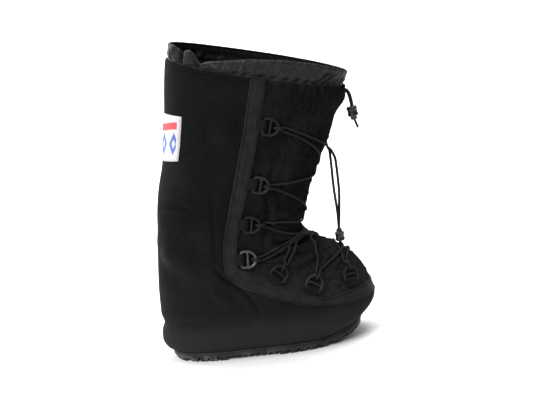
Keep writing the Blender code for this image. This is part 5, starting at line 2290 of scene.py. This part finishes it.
@dataclass
class Outsole(Part):
    """Rubber sole: grooved side wall, raised arch, toe spring, bevelled heel and lugs."""

    columns: int = 264
    lug_inset: float = 1.6
    base: float = 5.0
    embed: float = 0.6
    edge: float = 0.9
    edge_rise: float = 0.72
    lug_points: int = 4
    side_angles: tuple[float, float, int] = (2.0, 178.0, 400)
    fan_taper: float = 2.4
    hard_edge: float = 40.0
    heel_bevel: float = 4.0
    heel_bevel_start: float = 10.0
    heel_bevel_length: float = 19.0
    spine: Pair = (45.0, 200.0)
    spine_toe: float = 4.0
    arch_clearance: float = 2.4
    arch_ribs: Triple = (78.0, 132.0, 8.5)
    rib_width: float = 3.0
    bar_width: float = 10.0
    fore_bars: tuple[float, ...] = (138.0, 151.5, 165.0, 178.5, 192.0)
    fore_reach: Pair = (21.0, 5.0)
    heel_bars: tuple[float, ...] = (16.0, 29.5, 43.0, 56.5)
    heel_reach: Pair = (14.0, -3.0)
    crosses: tuple[Pair, ...] = ((148.0, 0.0), (166.0, 1.0), (184.0, 2.0), (29.0, 0.0), (49.0, 0.0))
    cross_arm: float = 7.0
    cross_half: float = 2.6
    toe_fan: tuple[float, float, int, float, float] = (-58.0, 58.0, 8, 0.38, 1.5)
    heel_fan: tuple[float, float, int, float, float] = (148.0, 212.0, 6, 0.30, 1.8)
    wall_rows: tuple[Pair, ...] = (
        (13.0, 6.0), (13.0, 0.4), (12.8, -0.3), (12.3, -0.8), (11.4, -1.0), (10.9, -0.9), (10.6, -0.4),
        (10.4, 0.4), (10.1, 0.6), (9.5, 0.6), (9.25, 0.4), (9.0, -0.2), (8.6, -0.5), (7.6, -0.2), (6.0, 0.5),
        (5.3, 0.8), (5.0, 1.3), (5.0, 6.0))

    def outline(self, angles: Array, inset: float) -> Array:
        """Sole outline in plan, moved inward by the inset.

        Args:
            angles: angles in degrees.
            inset: distance inward.

        Returns:
            Points in plan.
        """
        low = np.full(np.shape(angles), self.form.bottom)
        plan = unit(self.form.outward(angles, low) * np.array([1.0, 1.0, 0.0]))
        return (self.form.surface(angles, low) - plan * inset)[..., :2]

    def raised(self, plan: Array, height: Amount) -> Array:
        """Points over a plan at a height above the sprung floor line."""
        return np.column_stack([plan, height + self.form.toe_lift(plan[:, 0] + HEEL_TO_MIDDLE)])

    def build(self) -> Piece:
        """Side profile carried round the outline, closed above and below, with all lugs set into it.

        Returns:
            The sole.
        """
        angles = np.arange(self.columns) * 360.0 / self.columns
        rows = np.array([self.raised(self.outline(angles, inset), height)
                         for height, inset in self.wall_rows])
        faces = Faces()
        faces.plain(rows, body_quads(len(rows), self.columns))
        for loop, tread in self.lugs():
            self.lug(faces, np.array(loop), tread)
        return faces.piece("rubber_outsole", self.finishes.rubber, ["outsole"], "rubber", self.hard_edge)

    def lug(self, faces: Faces, loop: Array, tread: float) -> None:
        """Adds one lug: its outline dropped to the tread, with a small bevel round the tread face.

        Args:
            faces: mesh that takes the lug.
            loop: its outline in plan.
            tread: height of its tread face.
        """
        middle = loop.mean(0)
        size = np.linalg.norm(loop - middle, axis=1, keepdims=True)
        inside = middle + (loop - middle) * (1.0 - self.edge / size)
        levels = [self.raised(loop, self.base + self.embed)]
        for plan, level in ((loop, tread + self.edge_rise), (inside, tread)):
            past = np.maximum(self.heel_bevel_start - plan[:, 0] - HEEL_TO_MIDDLE, 0.0)
            levels.append(self.raised(plan, level + self.heel_bevel * (past / self.heel_bevel_length) ** 2))
        faces.plain(np.array(levels), body_quads(len(levels), len(loop)))

    def edge_points(self, places: Array, side: float) -> Array:
        """Plan points on the edge of the lugs.

        Args:
            places: places from the heel line.
            side: -1 outer, 1 inner.

        Returns:
            Points in plan.
        """
        plan = self.outline(np.linspace(*self.side_angles) * -side, self.lug_inset)
        plan = plan[np.argsort(plan[:, 0])]
        x = places - HEEL_TO_MIDDLE
        return np.column_stack([x, np.interp(x, plan[:, 0], plan[:, 1])])

    def spoke(self, angle: float, share: float) -> Array:
        """Point between the sole's spine and its edge, on the line to an outline angle.

        Args:
            angle: outline angle in degrees.
            share: way from spine to edge.

        Returns:
            Point in plan.
        """
        edge = self.outline(np.array([angle]), self.lug_inset)[0]
        first, last = self.spine
        spine = np.array([np.clip(edge[0], first - HEEL_TO_MIDDLE, last - HEEL_TO_MIDDLE), 0.0])
        if edge[0] > spine[0]:
            spine[1] = self.spine_toe
        return spine + share * (edge - spine)

    def lugs(self) -> list[tuple[Sequence, float]]:
        """Plan outlines of all lugs, each with the height of its tread face above the floor.

        Returns:
            Outlines with tread heights.
        """
        loops = self.fan(*self.toe_fan) + self.fan(*self.heel_fan)
        for side in (-1.0, 1.0):
            loops += [self.side_bar(start, *self.fore_reach, side) for start in self.fore_bars]
            loops += [self.side_bar(start, *self.heel_reach, side) for start in self.heel_bars]
        for place, across in self.crosses:
            loops += self.cross_block(place, across)
        ribs = []
        for start in np.arange(*self.arch_ribs):
            places = np.array([start, start + self.rib_width])
            ribs.append([*self.edge_points(places, -1.0), *self.edge_points(places, 1.0)[::-1]])
        return [(loop, 0.0) for loop in loops] + [(rib, self.arch_clearance) for rib in ribs]

    def fan(self, start: float, stop: float, edges: int, share: float, margin: float) -> list[list]:
        """Lugs side by side round an end of the sole.

        Args:
            start: angle where the first lug begins.
            stop: angle where the last lug ends.
            edges: number of edges, one more than the lugs.
            share: way from the spine at which the lugs begin.
            margin: angle left free at each edge.

        Returns:
            Plan outlines.
        """
        loops = []
        angles = np.linspace(start, stop, edges)
        for first, last in zip(angles, angles[1:]):
            edge = np.linspace(first + margin, last - margin, self.lug_points)
            arc = [self.spoke(angle, 1.0) for angle in edge]
            inset = self.fan_taper * margin
            near = [self.spoke(angle, share) for angle in (first + inset, last - inset)]
            loops.append([near[0], *arc, near[1]])
        return loops

    def side_bar(self, start: float, inner_reach: float, slant: float, side: float) -> list:
        """Lug at the sole's side, from an inner end out to the edge.

        Args:
            start: place of its rear corner at the edge.
            inner_reach: its inner end's distance aside.
            slant: how far forward the inner end lies.
            side: -1 outer, 1 inner.

        Returns:
            Outline in plan.
        """
        x = start - HEEL_TO_MIDDLE + slant
        edge = self.edge_points(np.linspace(start, start + self.bar_width, self.lug_points), side)
        return [(x, side * inner_reach), *edge, (x + self.bar_width, side * inner_reach)]

    def cross_block(self, place: float, across: float) -> list[Array]:
        """Plus shaped lug on the middle line, as two crossing bars.

        Args:
            place: its middle, from the heel line.
            across: its middle, aside.

        Returns:
            Two outlines in plan.
        """
        middle = np.array([place - HEEL_TO_MIDDLE, across])
        corners = np.array([(-1.0, -1.0), (1.0, -1.0), (1.0, 1.0), (-1.0, 1.0)])
        arms = (self.cross_arm, self.cross_half)
        return [middle + corners * arms, middle + corners * arms[::-1]]


@dataclass
class Insole(Part):
    """Loose felt board inside the flange."""

    bottom: float = 16.75
    thickness: float = 3.5
    clearance: float = 4.2
    rounding: Pair = (1.2, 2.4)
    heel: tuple[float, ...] = (0.7, -85.0, 26.0, 0.0, 22.0)
    ball: tuple[float, ...] = (0.5, 48.0, 30.0, 2.0, 30.0)
    columns: int = 160
    rows: int = 26
    hard_edge: float = 60.0

    def build(self, sole: Outsole) -> Piece:
        """Rows across the sole from edge to edge, with a rounded top edge and hollows at heel and ball.

        Args:
            sole: the outsole that it lies in.

        Returns:
            The insole.
        """
        angles = (np.arange(self.columns) + 0.5) * 360.0 / self.columns
        edge = sole.outline(angles, self.clearance)
        half = self.columns // 2
        share = 0.5 - 0.5 * np.cos(np.linspace(0.0, math.pi, self.rows))[None, :, None]
        plan = edge[:half, None] * (1.0 - share) + edge[:half - 1:-1, None] * share
        lift = self.form.toe_lift(plan[..., 0] + HEEL_TO_MIDDLE)
        margin = np.linalg.norm(plan[..., None, :] - edge, axis=-1).min(-1)
        round_off = self.rounding[0] * np.maximum(1.0 - margin / self.rounding[1], 0.0) ** 2
        hollow = self.hollow(plan, *self.heel) + self.hollow(plan, *self.ball)
        top = self.bottom + self.thickness + lift - round_off - hollow
        over = np.concatenate([plan, top[..., None]], -1)
        under = np.concatenate([plan, (self.bottom + lift)[..., None]], -1)
        faces = Faces()
        faces.sheet(over, under, cloth_places(over, 0))
        return faces.piece("felt_insole", self.finishes.felt, ["insole"], "felt", self.hard_edge)

    @staticmethod
    def hollow(plan: Array, depth: float, x: float, long: float, y: float, wide: float) -> Array:
        """Depth of a worn hollow: a bell about a place in plan."""
        return depth * np.exp(-((plan[..., 0] - x) / long) ** 2 - ((plan[..., 1] - y) / wide) ** 2)


@dataclass(frozen=True)
class Lamp:
    """Square area light: place and target in metres, side length in metres and power in watts."""

    name: str
    place: Triple
    target: Triple
    size: float
    power: float

    def build(self) -> None:
        """Makes the light, turned to its target."""
        lamp = bpy.data.lights.new(self.name, "AREA")
        lamp.size = self.size
        lamp.energy = self.power
        back = unit(np.array(self.place) - np.array(self.target))
        right = unit(np.cross((0.0, 1.0, 0.001), back))
        put(bpy.data.objects.new(self.name, lamp), right, np.cross(back, right), back, self.place)


LAMPS = (
    Lamp("key", (-1.3, -1.5, 1.7), (0.0, 0.0, 0.2), 1.1, 71.0),
    Lamp("rim", (-1.5, 0.9, 0.8), (0.0, 0.0, 0.2), 0.9, 18.0),
    Lamp("top", (0.3, -0.3, 2.4), (0.1, 0.0, 0.0), 1.6, 30.0),
    Lamp("back", (0.2, 0.7, 2.2), (0.2, 2.3, 0.5), 1.8, 90.0),
)


def put(made: Piece, right: Array, up: Array, back: Array, place: Sequence[float]) -> None:
    """Places a light or camera by its three axes and links it to the scene.

    Args:
        made: the light or camera.
        right: its x axis.
        up: its y axis.
        back: its z axis.
        place: where it stands, in metres.
    """
    rows = np.eye(4)
    rows[:3] = np.stack([right, up, back, place], 1)
    made.matrix_world = Matrix(rows.tolist())
    bpy.context.scene.collection.objects.link(made)


@dataclass
class Studio:
    """Pale floor, soft lights and the camera."""

    finishes: Finishes
    azimuth: float = 4.0
    elevation: float = 14.0
    roll: float = 9.0
    distance: float = 1.45
    focal_pixels: float = 1090.0
    image_width: float = 535.0
    sensor: float = 36.0
    target: Triple = (0.0226, 0.0, 0.200)
    sky: float = 0.42
    floor_front: float = -4000.0
    floor_back: float = 1500.0
    floor_drop: float = 0.05
    floor_width: float = 9000.0
    floor_wall: float = 20.0
    sweep: float = 900.0
    backdrop: Pair = (1800.0, 3000.0)
    flat_points: int = 12
    sweep_points: int = 14
    wide_points: int = 7

    def build(self) -> None:
        """Makes floor, world light, area lights and camera."""
        self.floor()
        for lamp in LAMPS:
            lamp.build()
        world = bpy.data.worlds.new("studio")
        world.use_nodes = True
        sky = world.node_tree.nodes["Background"]
        sky.inputs["Color"].default_value = (1.0, 1.0, 1.0, 1.0)
        sky.inputs["Strength"].default_value = self.sky
        bpy.context.scene.world = world
        bpy.context.scene.view_settings.view_transform = "Standard"
        self.camera()

    def floor(self) -> None:
        """Floor that sweeps up into a backdrop: a flat run, a quarter circle and a straight rise."""
        flat = np.linspace((self.floor_front, -self.floor_drop), (self.floor_back, -self.floor_drop),
                           self.flat_points)
        turn = np.linspace(0.0, math.pi / 2.0, self.sweep_points)[1:]
        bend = flat[-1] + self.sweep * np.stack([np.sin(turn), 1.0 - np.cos(turn)], 1)
        rise = np.array([(self.floor_back + self.sweep, height) for height in self.backdrop])
        profile = np.concatenate([flat, bend, rise])
        wide = np.linspace(-0.5, 0.5, self.wide_points) * self.floor_width
        over = np.stack(np.broadcast_arrays(wide, profile[:, :1], profile[:, 1:]), -1)
        under = over + np.array([0.0, self.floor_wall, -self.floor_wall])
        faces = Faces()
        faces.sheet(over, under, np.zeros(over.shape[:2] + (2,)))
        faces.piece("floor", self.finishes.floor)

    def camera(self) -> None:
        """Camera at the photograph's angle to the boot, rolled so that the sole keeps its slope."""
        a, e, roll = (math.radians(v) for v in (self.azimuth, self.elevation, self.roll))
        back = np.array([math.sin(a) * math.cos(e), -math.cos(a) * math.cos(e), math.sin(e)])
        level = np.array([math.cos(a), math.sin(a), 0.0])
        rise = np.cross(back, level)
        right = level * math.cos(roll) - rise * math.sin(roll)
        up = rise * math.cos(roll) + level * math.sin(roll)
        lens = bpy.data.cameras.new("camera")
        lens.sensor_fit = "HORIZONTAL"
        lens.sensor_width = self.sensor
        lens.lens = self.sensor * self.focal_pixels / self.image_width
        made = bpy.data.objects.new("camera", lens)
        put(made, right, up, back, np.array(self.target) + self.distance * back)
        bpy.context.scene.camera = made


def main() -> None:
    """Builds the sub-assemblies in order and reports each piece."""
    logging.basicConfig(level=logging.INFO, format="%(name)s: %(message)s")
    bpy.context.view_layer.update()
    finishes = Finishes()
    form = BootForm()
    Studio(finishes).build()
    rings = Rings(form, finishes)
    seats = rings.seats()
    form.calm_spots = np.array([seat.point for seat in seats.values()])
    lace_lock = CordLock(finishes, "lace_cord_lock", "lace_lock", middle=(238.5, 0.0, 140.0),
                         axis=(0.0, 0.0, 1.0), length=17.0).build()
    pieces = [lace_lock, *Lace(form, finishes).build(seats, lace_lock)]
    collar_lock = CordLock(finishes, "collar_cord_lock", "collar_lock", middle=(277.6, 0.0, 300.6),
                           axis=(0.10, 0.0, -1.0), length=18.0, radius=7.2).build()
    pieces += [collar_lock, *Drawcord(finishes).build(collar_lock)]
    pieces += [Upper(form, finishes).build(), Gusset(form, finishes).build(), Collar(form, finishes).build()]
    pieces += [*Tape(form, finishes).build(), TopHem(form, finishes).build(), *Label(form, finishes).build()]
    sole = Outsole(form, finishes)
    pieces += [*rings.build(seats), sole.build(), Insole(form, finishes).build(sole)]
    for piece in pieces:
        LOG.info("%s: %d quads", piece.name, len(piece.data.polygons))


if __name__ == "__main__":
    main()
